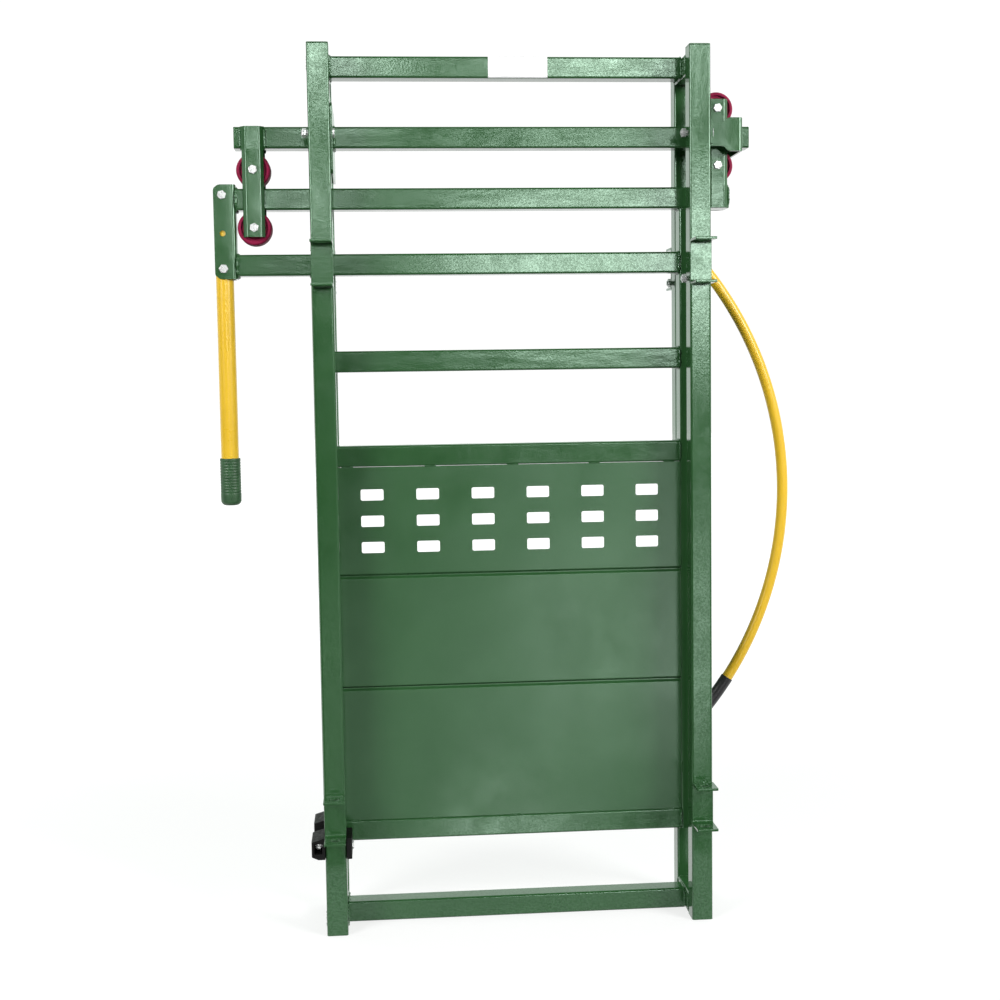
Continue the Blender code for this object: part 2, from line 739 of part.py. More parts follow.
guide_left = -POST_OUTER_X - FIT_GAP - GUIDE_LEFT_ARM
guide_right = -POST_INNER_X + FIT_GAP + GUIDE_RIGHT_ARM
guide_nut_x = -POST_OUTER_X - FIT_GAP - GUIDE_POCKET_WALL
hole_start = guide_nut_x - BOLT_RADIUS / 2
hole_stop = guide_right + BOLT_RADIUS / 2
guide_holes = round_cutter(
    "guide_bolt_holes", BOLT_HOLE_RADIUS, hole_stop - hole_start, "X",
    [((hole_start + hole_stop) / 2, y, z) for x, y, z in guide_bolt_places],
)
pocket_left = guide_left + GUIDE_POCKET_WALL
pocket_half = BOLT_HEAD_FLATS / math.sqrt(3) + GUIDE_POCKET_MARGIN
top_run, top_fall = GUIDE_TOP_SLOPE
foot_run, foot_rise = GUIDE_FOOT_SLOPE
guide_top = GUIDE_BOTTOM + GUIDE_HEIGHT
guide_side_loop = rounded([
    (guide_left, GUIDE_BOTTOM + foot_rise),
    (guide_left + foot_run, GUIDE_BOTTOM),
    (guide_right + TUBE, GUIDE_BOTTOM),
    (guide_right + TUBE, guide_top),
    (guide_left + top_run, guide_top),
    (guide_left, guide_top - top_fall),
], 0)
guide_side = flat_cutter("guide_side_shape", [guide_side_loop], 4 * POST_FACE_Y, "Y", (0, 0, 0))
for side_name, side in SIDES.items():
    tip_y = POST_FACE_Y + GUIDE_OVERHANG
    bed_y = POST_GAP / 2 - FIT_GAP
    block_outline = [
        (guide_left, tip_y, GUIDE_CHAMFER),
        (-POST_OUTER_X - FIT_GAP, tip_y, 0.002),
        (-POST_OUTER_X - FIT_GAP, bed_y, 0),
        (-POST_INNER_X + FIT_GAP, bed_y, 0),
        (-POST_INNER_X + FIT_GAP, tip_y, 0.002),
        (guide_right, tip_y, 0.003),
        (guide_right, GUIDE_FACE_Y, 0.004),
        (guide_left, GUIDE_FACE_Y, 0.004),
    ]
    block_loop = rounded([(x, side * y, r) for x, y, r in block_outline], 0)
    block = flat_part(
        "guide_block_" + side_name, [block_loop], GUIDE_HEIGHT, "Z",
        (0, 0, GUIDE_BOTTOM + GUIDE_HEIGHT / 2), "black_block",
    )
    cut(block, guide_side, "INTERSECT")
    pocket_floor = POST_Y - pocket_half
    pocket_depth = 2 * (tip_y - pocket_floor)
    cut(block, flat_cutter(
        "guide_pocket_" + side_name, [rectangle(guide_nut_x - pocket_left, 2 * pocket_half)], pocket_depth, "Y",
        ((guide_nut_x + pocket_left) / 2, side * (pocket_floor + pocket_depth / 2), GUIDE_BOLT_Z),
    ))
    cut(block, guide_holes)
place_bolts(
    guide_right - guide_nut_x,
    {"guide_bolt_" + name: (guide_right, side * POST_Y, GUIDE_BOLT_Z) for name, side in SIDES.items()},
    (-1, 0, 0),
)
place_bolts(
    TUBE,
    {"right_post_bolt_" + name: (POST_OUTER_X, side * POST_Y, CATCH_BOLT_Z) for name, side in SIDES.items()},
    (-1, 0, 0),
)

# Gate frame

left_stile_face = STILE_LEFT_X + HALF_TUBE
right_stile_face = STILE_RIGHT_X - HALF_TUBE
rail_start = CHANNEL_WEB_X + FIT_GAP
rail_stop = right_stile_face - FIT_GAP
inner_start = left_stile_face + FIT_GAP
tube_part("gate_stile_left", "Z", STILE_BOTTOM, RAIL_B_Z - HALF_TUBE - FIT_GAP, (STILE_LEFT_X, 0))
tube_part("gate_stile_right", "Z", STILE_BOTTOM, HANGER_Z - HALF_TUBE - FIT_GAP, (STILE_RIGHT_X, 0))
tube_part("hanger_rail", "X", rail_start, HANGER_RIGHT_X, (0, HANGER_Z))
tube_part("gate_top_rail", "X", rail_start, rail_stop, (0, RAIL_B_Z))
tube_part("gate_mid_rail", "X", inner_start, rail_stop, (0, RAIL_C_Z))
tube_part("panel_top_rail", "X", inner_start, rail_stop, (0, RAIL_D_Z))
tube_part("gate_bottom_rail", "X", inner_start, rail_stop, (0, RAIL_E_Z))

# Panel sheet

sheet_y = -HALF_TUBE + SHEET_RECESS + SHEET_THICKNESS / 2
sheet_path = [(sheet_y, RAIL_E_Z + HALF_TUBE + FIT_GAP)]
for groove_z in GROOVE_ZS:
    sheet_path += [
        (sheet_y, groove_z - GROOVE_HEIGHT / 2),
        (sheet_y + GROOVE_DEPTH, groove_z - GROOVE_FLOOR / 2),
        (sheet_y + GROOVE_DEPTH, groove_z + GROOVE_FLOOR / 2),
        (sheet_y, groove_z + GROOVE_HEIGHT / 2),
    ]
sheet_path.append((sheet_y, RAIL_D_Z - HALF_TUBE - FIT_GAP))
sheet = flat_part(
    "panel_sheet", [strip(sheet_path, SHEET_THICKNESS, 0.0004)], rail_stop - inner_start, "X",
    ((inner_start + rail_stop) / 2, 0, 0),
)
slot_mesh = flat_mesh([rectangle(SLOT_LENGTH, SLOT_HEIGHT, (0, 0), SLOT_CORNER)], TUBE)
slot_pieces = []
for column in range(SLOT_COLUMNS):
    for row in range(SLOT_ROWS):
        slot_place = (SLOT_FIRST_X + column * SLOT_PITCH_X, sheet_y, SLOT_TOP_Z - row * SLOT_PITCH_Z)
        slot_pieces.append((slot_mesh, flat_frame("Y", slot_place)))
cut(sheet, place_cutter("panel_slots", joined_mesh(slot_pieces)))

# Handle at the left end

channel_left = CHANNEL_WEB_X - CHANNEL_LENGTH
channel_z = (CHANNEL_TOP + CHANNEL_BOTTOM) / 2
channel_loop = rounded([
    (CHANNEL_WEB_X, -HALF_TUBE, CHANNEL_BEND + CHANNEL_WEB),
    (CHANNEL_WEB_X, HALF_TUBE, CHANNEL_BEND + CHANNEL_WEB),
    (channel_left, HALF_TUBE, 0),
    (channel_left, HALF_TUBE - CHANNEL_FLANGE, 0),
    (CHANNEL_WEB_X - CHANNEL_WEB, HALF_TUBE - CHANNEL_FLANGE, CHANNEL_BEND),
    (CHANNEL_WEB_X - CHANNEL_WEB, -HALF_TUBE + CHANNEL_FLANGE, CHANNEL_BEND),
    (channel_left, -HALF_TUBE + CHANNEL_FLANGE, 0),
    (channel_left, -HALF_TUBE, 0),
], 0)
channel = flat_part("handle_channel", [channel_loop], CHANNEL_TOP - CHANNEL_BOTTOM, "Z", (0, 0, channel_z))
trim_loop = rounded([
    (channel_left, CHANNEL_BOTTOM, CHANNEL_CORNER),
    (CHANNEL_WEB_X + TUBE, CHANNEL_BOTTOM, 0),
    (CHANNEL_WEB_X + TUBE, CHANNEL_TOP, 0),
    (channel_left, CHANNEL_TOP, CHANNEL_CORNER),
], 0)
cut(channel, flat_cutter("channel_shape", [trim_loop], 2 * TUBE, "Y", (0, 0, 0)), "INTERSECT")
handle_bolt_heights = {
    "handle_bolt_upper": CHANNEL_TOP - CHANNEL_BOLT_INSET,
    "handle_bolt_lower": CHANNEL_BOTTOM + CHANNEL_BOLT_INSET,
}
handle_holes = round_cutter(
    "handle_bolt_holes", BOLT_HOLE_RADIUS, 2 * TUBE, "Y",
    [(HANDLE_X, 0, height) for height in handle_bolt_heights.values()],
)
cut(channel, handle_holes)
cut(channel, round_cutter(
    "channel_peep_hole", CHANNEL_PEEP_RADIUS, 2 * TUBE, "Y", [(HANDLE_X, 0, channel_z - CHANNEL_PEEP_SINK)]
))

handle_tube = flat_part(
    "handle_tube", [circle(HANDLE_RADIUS), circle(HANDLE_RADIUS - HANDLE_WALL)],
    HANDLE_TOP - HANDLE_BOTTOM, "Z", (HANDLE_X, 0, (HANDLE_TOP + HANDLE_BOTTOM) / 2),
    "yellow_paint", True,
)
cut(handle_tube, handle_holes)
grip_bore = HANDLE_RADIUS + FIT_GAP
grip_profile = [
    (0, HANDLE_BOTTOM - FIT_GAP),
    (grip_bore, HANDLE_BOTTOM - FIT_GAP),
    (grip_bore, GRIP_TOP),
    (GRIP_RADIUS - 0.001, GRIP_TOP),
    (GRIP_RADIUS, GRIP_TOP - 0.001),
]
for step in range(7):
    angle = math.radians(90) * step / 6
    grip_profile.append((
        GRIP_RADIUS - GRIP_ROUND + GRIP_ROUND * math.cos(angle),
        GRIP_BOTTOM + GRIP_ROUND - GRIP_ROUND * math.sin(angle),
    ))
grip_profile.append((0, GRIP_BOTTOM))
turned_part(
    "handle_grip", grip_profile, "green_rubber", Matrix.Translation((HANDLE_X, 0, 0)), 24, False
)
place_bolts(
    TUBE,
    {name: (HANDLE_X, -HALF_TUBE, height) for name, height in handle_bolt_heights.items()},
    (0, 1, 0),
)

# Bow handle at the right end

BOW_CENTRE_X = BOW_APEX_X - BOW_RADIUS


def bow_angle(reach_x):
    """Angle from the apex at which the bow's middle line is at this X."""
    return math.acos((reach_x - BOW_CENTRE_X) / BOW_RADIUS)


def arc_mesh(rod_radius, start, stop, steps):
    """Round bar along the bow's arc between two angles; angles above the apex are positive."""
    curve = bpy.data.curves.new("arc", "CURVE")
    curve.dimensions = "3D"
    curve.bevel_depth = rod_radius
    curve.bevel_resolution = 3
    curve.use_fill_caps = True
    spline = curve.splines.new("POLY")
    spline.points.add(steps)
    for index, point in enumerate(spline.points):
        angle = start + (stop - start) * index / steps
        x = BOW_CENTRE_X + BOW_RADIUS * math.cos(angle)
        z = BOW_APEX_Z + BOW_RADIUS * math.sin(angle)
        point.co = (x, 0, z, 1)
    item = bpy.data.objects.new("arc", curve)
    PARTS.objects.link(item)
    return baked_mesh(item)


bow_end = bow_angle(BOW_FACE_X - 2 * BOW_ROD_RADIUS)
bore_end = bow_angle(BOW_FACE_X - 4 * BOW_ROD_RADIUS)
bow_trim = flat_cutter(
    "bow_trim", [rectangle(TUBE * 2, FRAME_HEIGHT)], TUBE * 2, "Y", (BOW_FACE_X - TUBE, 0, BOW_APEX_Z)
)
bow = place_part("bow_handle", arc_mesh(BOW_ROD_RADIUS, -bow_end, bow_end, 40), "yellow_paint", None, True)
cut(bow, place_cutter("bow_bore", arc_mesh(BOW_ROD_RADIUS - BOW_WALL, -bore_end, bore_end, 45)))
cut(bow, bow_trim)
sleeve_end = bow_angle(BOW_FACE_X + SLEEVE_REACH)
sleeve = place_part(
    "bow_sleeve", arc_mesh(SLEEVE_RADIUS, -bow_end, -sleeve_end, 8), "black_rubber", None, True
)
cut(sleeve, place_cutter("sleeve_bore", arc_mesh(BOW_ROD_RADIUS + 2 * FIT_GAP, -bore_end, -sleeve_end / 2, 16)))
cut(sleeve, bow_trim)
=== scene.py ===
import math

import bmesh
import bpy
from mathutils import Matrix, Vector


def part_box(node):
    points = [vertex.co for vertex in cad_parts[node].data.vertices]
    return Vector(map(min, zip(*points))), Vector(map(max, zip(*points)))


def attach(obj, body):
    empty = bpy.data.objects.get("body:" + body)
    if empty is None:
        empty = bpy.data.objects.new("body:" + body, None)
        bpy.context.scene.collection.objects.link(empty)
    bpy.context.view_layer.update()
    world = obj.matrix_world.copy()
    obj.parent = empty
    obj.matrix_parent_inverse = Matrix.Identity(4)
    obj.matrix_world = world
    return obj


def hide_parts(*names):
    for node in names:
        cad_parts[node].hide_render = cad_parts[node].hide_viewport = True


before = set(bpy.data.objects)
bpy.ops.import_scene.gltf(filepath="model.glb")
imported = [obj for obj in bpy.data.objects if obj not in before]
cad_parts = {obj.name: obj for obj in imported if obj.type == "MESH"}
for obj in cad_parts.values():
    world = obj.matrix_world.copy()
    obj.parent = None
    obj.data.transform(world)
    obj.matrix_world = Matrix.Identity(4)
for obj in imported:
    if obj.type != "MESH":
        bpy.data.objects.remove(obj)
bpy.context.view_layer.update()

axisIndex = {"X": 0, "Y": 1, "Z": 2}
# Gap between touching pieces, tolerance of a place, and least cosine of nearly parallel directions
fitGap = 0.0003
tiny = 0.00001
parallel = 0.9


def link(thing):
    bpy.context.scene.collection.objects.link(thing)


# Camera at the photograph's place

cameraValues = {
    "place": (-0.3286, -3.6229, 1.3341),
    "yawDegrees": 4.714,
    "pitchDegrees": -4.700,
    "rollDegrees": -0.816,
    "lens": 53.61,
    "sensor": 36,
    "clipEnd": 100,
}


def buildCamera(values):
    yaw = math.radians(values["yawDegrees"])
    pitch = math.radians(values["pitchDegrees"])
    roll = math.radians(values["rollDegrees"])
    forward = Vector((math.sin(yaw) * math.cos(pitch), math.cos(yaw) * math.cos(pitch), math.sin(pitch)))
    level = Vector((math.cos(yaw), -math.sin(yaw), 0))
    upright = level.cross(forward)
    right = level * math.cos(roll) + upright * math.sin(roll)
    up = upright * math.cos(roll) - level * math.sin(roll)
    data = bpy.data.cameras.new("photoCamera")
    data.lens = values["lens"]
    data.sensor_width = values["sensor"]
    data.sensor_fit = "HORIZONTAL"
    data.clip_end = values["clipEnd"]
    camera = bpy.data.objects.new("photoCamera", data)
    turn = Matrix((right, up, -forward)).transposed().to_4x4()
    camera.matrix_world = Matrix.Translation(values["place"]) @ turn
    link(camera)
    bpy.context.scene.camera = camera


buildCamera(cameraValues)
print("stage: camera")


# Materials

def newMaterial(name):
    material = bpy.data.materials.new(name)
    material.use_nodes = True
    tree = material.node_tree
    return material, tree, tree.nodes["Principled BSDF"]


def feed(tree, socket, value):
    # Links a node's output to the socket, or sets the socket to a plain value
    if isinstance(value, bpy.types.NodeSocket):
        tree.links.new(value, socket)
    else:
        socket.default_value = value


def noise(tree, scale, detail=2.0, roughness=0.5, stretch=(1, 1, 1)):
    # Noise on object coordinates; scale is in cycles per metre
    place = tree.nodes.new("ShaderNodeTexCoord")
    mapping = tree.nodes.new("ShaderNodeMapping")
    mapping.inputs["Scale"].default_value = stretch
    tree.links.new(place.outputs["Object"], mapping.inputs["Vector"])
    texture = tree.nodes.new("ShaderNodeTexNoise")
    texture.inputs["Scale"].default_value = scale
    texture.inputs["Detail"].default_value = detail
    texture.inputs["Roughness"].default_value = roughness
    tree.links.new(mapping.outputs["Vector"], texture.inputs["Vector"])
    return texture.outputs["Fac"]


rampStops = (0.35, 0.65)


def ramp(tree, source, low, high):
    # Turns noise into a blend of two colours
    node = tree.nodes.new("ShaderNodeValToRGB")
    node.color_ramp.elements[0].position = rampStops[0]
    node.color_ramp.elements[1].position = rampStops[1]
    node.color_ramp.elements[0].color = low
    node.color_ramp.elements[1].color = high
    tree.links.new(source, node.inputs["Fac"])
    return node.outputs["Color"]


def greyRamp(tree, source, low, high):
    return ramp(tree, source, (low, low, low, 1), (high, high, high, 1))


def colourMix(tree, blend, factor, first, second):
    # A Mix node takes its colours on inputs 6 and 7 and gives the blend on output 2
    node = tree.nodes.new("ShaderNodeMix")
    node.data_type = "RGBA"
    node.blend_type = blend
    feed(tree, node.inputs["Factor"], factor)
    feed(tree, node.inputs[6], first)
    feed(tree, node.inputs[7], second)
    return node.outputs[2]


def bumps(tree, shader, layers):
    # Chains bump nodes; each layer is (height output, strength, distance)
    last = None
    for height, strength, distance in layers:
        node = tree.nodes.new("ShaderNodeBump")
        node.inputs["Strength"].default_value = strength
        node.inputs["Distance"].default_value = distance
        tree.links.new(height, node.inputs["Height"])
        if last:
            tree.links.new(last.outputs["Normal"], node.inputs["Normal"])
        last = node
    tree.links.new(last.outputs["Normal"], shader.inputs["Normal"])


def paintMaterial(name, values):
    # Gloss paint with soft waves and fine peel; speckle and glint follow the peel
    material, tree, shader = newMaterial(name)
    patches = noise(tree, values["patchScale"], detail=3.0)
    colour = ramp(tree, patches, values["dark"], values["light"])
    peel = noise(tree, values["peelScale"], detail=1.5)
    speckle = greyRamp(tree, peel, 1 - values["speckle"], 1)
    feed(tree, shader.inputs["Base Color"], colourMix(tree, "MULTIPLY", 1, colour, speckle))
    smears = noise(tree, values["smearScale"], detail=4.0, roughness=0.6)
    rough = greyRamp(tree, smears, values["roughLow"], values["roughHigh"])
    feed(tree, shader.inputs["Roughness"], rough)
    waves = noise(tree, values["waveScale"], detail=1.0, stretch=values["waveStretch"])
    bumps(tree, shader, [
        (waves, values["waveStrength"], values["waveDepth"]),
        (peel, values["peelStrength"], values["peelDepth"]),
    ])
    gloss, glint = values["specular"], values["glint"]
    sparkle = greyRamp(tree, peel, gloss * (1 - glint), gloss * (1 + glint))
    feed(tree, shader.inputs["Specular IOR Level"], sparkle)
    shader.inputs["Specular Tint"].default_value = values["sheenTint"]
    shader.inputs["Coat Weight"].default_value = values["coat"]
    shader.inputs["Coat Roughness"].default_value = values["coatRough"]
    return material


greenValues = {
    "dark": (0.0225, 0.082, 0.0245, 1),
    "light": (0.0280, 0.094, 0.0300, 1),
    "patchScale": 9,
    "smearScale": 22,
    "roughLow": 0.11,
    "roughHigh": 0.18,
    "speckle": 0.07,
    "glint": 0.33,
    "peelScale": 230,
    "peelStrength": 0.24,
    "peelDepth": 0.0003,
    "waveScale": 40,
    "waveStretch": (1, 1, 1),
    "waveStrength": 0.28,
    "waveDepth": 0.0010,
    "specular": 0.75,
    "sheenTint": (0.72, 1.0, 0.81, 1),
    "coat": 0.10,
    "coatRough": 0.12,
}
greenPaint = paintMaterial("greenPaint", greenValues)
railPaint = paintMaterial("railPaint", {**greenValues, "waveStretch": (0.25, 1, 1)})
postPaint = paintMaterial("postPaint", {**greenValues, "waveStretch": (1, 1, 0.25)})
sheetPaint = paintMaterial("sheetPaint", {
    **greenValues,
    "patchScale": 6,
    "smearScale": 8,
    "roughLow": 0.16,
    "roughHigh": 0.24,
    "speckle": 0.05,
    "glint": 0.12,
    "peelScale": 300,
    "peelStrength": 0.28,
    "waveScale": 5,
    "waveStrength": 0.35,
    "waveDepth": 0.0022,
})
platePaint = paintMaterial("platePaint", {
    **greenValues,
    "speckle": 0.03,
    "glint": 0.10,
    "peelStrength": 0.12,
    "waveStrength": 0.20,
})
yellowPaint = paintMaterial("yellowPaint", {
    "dark": (0.76, 0.475, 0.022, 1),
    "light": (0.80, 0.505, 0.025, 1),
    "speckle": 0.03,
    "glint": 0.05,
    "patchScale": 8,
    "smearScale": 18,
    "roughLow": 0.27,
    "roughHigh": 0.33,
    "peelScale": 320,
    "peelStrength": 0.12,
    "peelDepth": 0.0003,
    "waveScale": 12,
    "waveStretch": (1, 1, 1),
    "waveStrength": 0.10,
    "waveDepth": 0.0006,
    "specular": 0.5,
    "sheenTint": (1, 0.95, 0.8, 1),
    "coat": 0.10,
    "coatRough": 0.12,
})


def metalMaterial(name, values):
    # Plated metal, smoother where it is lighter
    material, tree, shader = newMaterial(name)
    patches = noise(tree, values["patchScale"], detail=4.0, roughness=0.6)
    feed(tree, shader.inputs["Base Color"], ramp(tree, patches, values["dark"], values["light"]))
    rough = greyRamp(tree, patches, values["roughHigh"], values["roughLow"])
    feed(tree, shader.inputs["Roughness"], rough)
    grain = noise(tree, values["grainScale"])
    bumps(tree, shader, [(grain, values["grainStrength"], values["grainDepth"])])
    shader.inputs["Metallic"].default_value = values["metallic"]
    return material


zincMetal = metalMaterial("zincMetal", {
    "dark": (0.50, 0.52, 0.51, 1),
    "light": (0.84, 0.86, 0.85, 1),
    "patchScale": 160,
    "roughLow": 0.22,
    "roughHigh": 0.38,
    "grainScale": 420,
    "grainStrength": 0.25,
    "grainDepth": 0.0003,
    "metallic": 0.55,
})


def mouldedMaterial(name, values):
    # Rubber, plastic or film with a fine grain
    material, tree, shader = newMaterial(name)
    patches = noise(tree, values["patchScale"], detail=3.0)
    feed(tree, shader.inputs["Base Color"], ramp(tree, patches, values["dark"], values["light"]))
    smears = noise(tree, values["smearScale"], detail=4.0, roughness=0.65)
    rough = greyRamp(tree, smears, values["roughLow"], values["roughHigh"])
    feed(tree, shader.inputs["Roughness"], rough)
    grain = noise(tree, values["grainScale"], detail=3.0, roughness=0.6)
    bumps(tree, shader, [(grain, values["grainStrength"], values["grainDepth"])])
    shader.inputs["Specular IOR Level"].default_value = values["specular"]
    return material


crimsonRoller = mouldedMaterial("crimsonRoller", {
    "dark": (0.225, 0.010, 0.044, 1),
    "light": (0.290, 0.015, 0.062, 1),
    "patchScale": 30,
    "smearScale": 90,
    "roughLow": 0.55,
    "roughHigh": 0.70,
    "grainScale": 260,
    "grainStrength": 0.15,
    "grainDepth": 0.0004,
    "specular": 0.12,
})
blackBlock = mouldedMaterial("blackBlock", {
    "dark": (0.002, 0.002, 0.002, 1),
    "light": (0.006, 0.006, 0.006, 1),
    "patchScale": 60,
    "smearScale": 120,
    "roughLow": 0.45,
    "roughHigh": 0.70,
    "grainScale": 160,
    "grainStrength": 0.6,
    "grainDepth": 0.0012,
    "specular": 0.2,
})
blackRubber = mouldedMaterial("blackRubber", {
    "dark": (0.012, 0.012, 0.014, 1),
    "light": (0.022, 0.022, 0.024, 1),
    "patchScale": 40,
    "smearScale": 60,
    "roughLow": 0.35,
    "roughHigh": 0.50,
    "grainScale": 300,
    "grainStrength": 0.2,
    "grainDepth": 0.0005,
    "specular": 0.5,
})
gripRubber = mouldedMaterial("gripRubber", {
    "dark": (0.018, 0.068, 0.022, 1),
    "light": (0.030, 0.098, 0.034, 1),
    "patchScale": 60,
    "smearScale": 90,
    "roughLow": 0.38,
    "roughHigh": 0.55,
    "grainScale": 400,
    "grainStrength": 0.3,
    "grainDepth": 0.0005,
    "specular": 0.5,
})
labelFilm = mouldedMaterial("labelFilm", {
    "dark": (0.84, 0.85, 0.85, 1),
    "light": (0.90, 0.90, 0.90, 1),
    "patchScale": 20,
    "smearScale": 30,
    "roughLow": 0.25,
    "roughHigh": 0.35,
    "grainScale": 90,
    "grainStrength": 0.1,
    "grainDepth": 0.0003,
    "specular": 0.5,
})
print("stage: materials")


# Helpers for pieces

def shownName(node):
    # A node's name in camelCase
    first, *rest = node.split("_")
    return first + "".join(word.capitalize() for word in rest)


def focus(piece):
    # Selects this piece alone and makes it the active one
    bpy.ops.object.select_all(action="DESELECT")
    piece.select_set(True)
    bpy.context.view_layer.objects.active = piece


def applyPlace():
    # Puts the active piece's place, turn and scale into its mesh
    bpy.ops.object.transform_apply(location=True, rotation=True, scale=True)


def finishPiece(piece, name, material, body, *nodes):
    # Names the piece, ties it to its body and hides the CAD nodes it stands in for
    focus(piece)
    applyPlace()
    piece.name = name
    piece.data.name = name
    piece.data.materials.clear()
    piece.data.materials.append(material)
    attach(piece, body)
    if nodes:
        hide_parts(*nodes)


def applyAll(piece):
    focus(piece)
    for modifier in list(piece.modifiers):
        bpy.ops.object.modifier_apply(modifier=modifier.name)


def softenEdges(piece, width, segments=2, angle=40):
    modifier = piece.modifiers.new("softEdges", "BEVEL")
    modifier.width = width
    modifier.segments = segments
    modifier.limit_method = "ANGLE"
    modifier.angle_limit = math.radians(angle)
    modifier.harden_normals = False
    applyAll(piece)


def evenNormals(piece):
    # Large faces set the shading of the narrow ones beside them
    even = piece.modifiers.new("evenFaces", "WEIGHTED_NORMAL")
    even.keep_sharp = True
    even.weight = 90
    applyAll(piece)


def smooth(piece, angle=32):
    focus(piece)
    bpy.ops.object.shade_smooth_by_angle(angle=math.radians(angle))
    evenNormals(piece)


def joinPieces(pieces):
    focus(pieces[0])
    for piece in pieces[1:]:
        piece.select_set(True)
    bpy.ops.object.join()
    return pieces[0]


def pick(piece, kind, test):
    # In edit mode, selects only the faces or edges that pass the test
    if bpy.context.mode != "OBJECT":
        leaveEdit()
    focus(piece)
    bpy.ops.object.mode_set(mode="EDIT")
    bpy.ops.mesh.select_mode(type=kind)
    bpy.ops.mesh.select_all(action="DESELECT")
    work = bmesh.from_edit_mesh(piece.data)
    for item in (work.faces if kind == "FACE" else work.edges):
        item.select_set(test(item))
    work.select_flush_mode()
    bmesh.update_edit_mesh(piece.data)


def liesAt(axis, place):
    # Test for edges with both ends at one place along an axis
    index = axisIndex[axis]
    return lambda edge: all(abs(vert.co[index] - place) < tiny for vert in edge.verts)


def leaveEdit():
    bpy.ops.object.mode_set(mode="OBJECT")


def extrudeEdges(step):
    bpy.ops.mesh.extrude_edges_move(TRANSFORM_OT_translate={"value": step})


def turnFacesOut():
    bpy.ops.mesh.select_all(action="SELECT")
    bpy.ops.mesh.normals_make_consistent(inside=False)


copyValues = {
    "mergeDistance": 0.00002,
    "flatDegrees": 0.5,
    "edgeSegments": 2,
    "edgeDegrees": 38,
}


def nodeCopy(node, width, values=copyValues):
    # A smooth-edged copy of a CAD node that is left as it is
    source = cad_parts[node]
    piece = bpy.data.objects.new(node + "Shown", source.data.copy())
    link(piece)
    pick(piece, "FACE", lambda face: True)
    bpy.ops.mesh.remove_doubles(threshold=values["mergeDistance"])
    bpy.ops.mesh.dissolve_limited(angle_limit=math.radians(values["flatDegrees"]))
    bpy.ops.mesh.normals_make_consistent(inside=False)
    leaveEdit()
    softenEdges(piece, width, values["edgeSegments"], values["edgeDegrees"])
    smooth(piece)
    return piece


tubeValues = {
    "size": 0.0508,
    "wall": 0.0032,
    "corner": 0.0052,
    "cornerSegments": 5,
    "rim": 0.0005,
    "hollowDepth": 0.06,
}


def squareTube(axis, low, high, openEnds, values=tubeValues):
    # Square tube between two corners of its box, hollow where an end is open
    middle = [(a + b) / 2 for a, b in zip(low, high)]
    bpy.ops.mesh.primitive_cube_add(size=1, location=middle)
    piece = bpy.context.object
    piece.scale = [b - a for a, b in zip(low, high)]
    applyPlace()
    index = axisIndex[axis]

    def isLong(edge):
        return abs((edge.verts[0].co - edge.verts[1].co).normalized()[index]) > parallel

    pick(piece, "EDGE", isLong)
    bpy.ops.mesh.bevel(offset=values["corner"], segments=values["cornerSegments"], affect="EDGES")
    leaveEdit()
    for end in openEnds:
        sign = -1 if end == "low" else 1
        place = low[index] if end == "low" else high[index]

        def isEnd(face):
            off = abs(face.calc_center_median()[index] - place)
            return off < tiny and face.normal[index] * sign > parallel

        pick(piece, "FACE", isEnd)
        bpy.ops.mesh.inset(thickness=values["wall"], depth=0)
        step = [0, 0, 0]
        step[index] = -sign * values["hollowDepth"]
        bpy.ops.mesh.extrude_region_move(TRANSFORM_OT_translate={"value": step})
        leaveEdit()
    softenEdges(piece, values["rim"], segments=1, angle=60)
    smooth(piece, angle=30)
    return piece


def newCurve(name, thickness, resolution):
    data = bpy.data.curves.new(name, "CURVE")
    data.dimensions = "3D"
    data.bevel_depth = thickness
    data.bevel_resolution = resolution
    data.use_fill_caps = True
    return data


def meshFrom(name, data):
    piece = bpy.data.objects.new(name, data)
    link(piece)
    focus(piece)
    bpy.ops.object.convert(target="MESH")
    return bpy.context.object


weldValues = {
    "step": 0.0026,
    "fewestSteps": 4,
    "phaseStep": 2.4,
    "phaseShift": 1.7,
    "ripple": 0.26,
    "slowRipple": 0.5,
    "slowPace": 0.37,
    "wander": 0.12,
    "wanderPaces": (0.31, 0.23),
    "endShare": 0.55,
    "endRise": 6,
    "resolution": 1,
}


def weldCurve(name, runs, values=weldValues):
    # Weld beads along straight runs of (start, stop, radius), rippled like laid metal
    data = newCurve(name, 1.0, values["resolution"])
    acrossPace, otherPace = values["wanderPaces"]
    for number, (start, stop, radius) in enumerate(runs):
        start, stop = Vector(start), Vector(stop)
        count = max(values["fewestSteps"], int((stop - start).length / values["step"]))
        along = (stop - start).normalized()
        across = along.orthogonal().normalized()
        other = along.cross(across)
        spline = data.splines.new("POLY")
        spline.points.add(count)
        for index, point in enumerate(spline.points):
            share = index / count
            phase = index * values["phaseStep"] + number * values["phaseShift"]
            wander = across * math.sin(phase * acrossPace) + other * math.cos(phase * otherPace)
            place = start.lerp(stop, share) + wander * radius * values["wander"]
            ends = min(1.0, values["endShare"] + values["endRise"] * min(share, 1 - share))
            ripple = values["ripple"] * math.sin(phase)
            slow = values["slowRipple"] * values["ripple"] * math.sin(phase * values["slowPace"])
            point.co = (*place, 1)
            point.radius = radius * ends * (1 + ripple + slow)
    piece = meshFrom(name, data)
    smooth(piece, angle=60)
    return piece


boltValues = {
    "shank": 0.00635,
    "flats": 0.019,
    "headHeight": 0.008,
    "nutHeight": 0.011,
    "tail": 0.005,
    "chamfer": 0.0011,
    "rim": 0.00035,
    "threadPitch": 0.00195,
    "threadCore": 0.86,
    "ridgeHalf": 0.0007,
    "ridgeEdge": 0.0003,
    "sides": 24,
    "spinDegrees": 17,
}
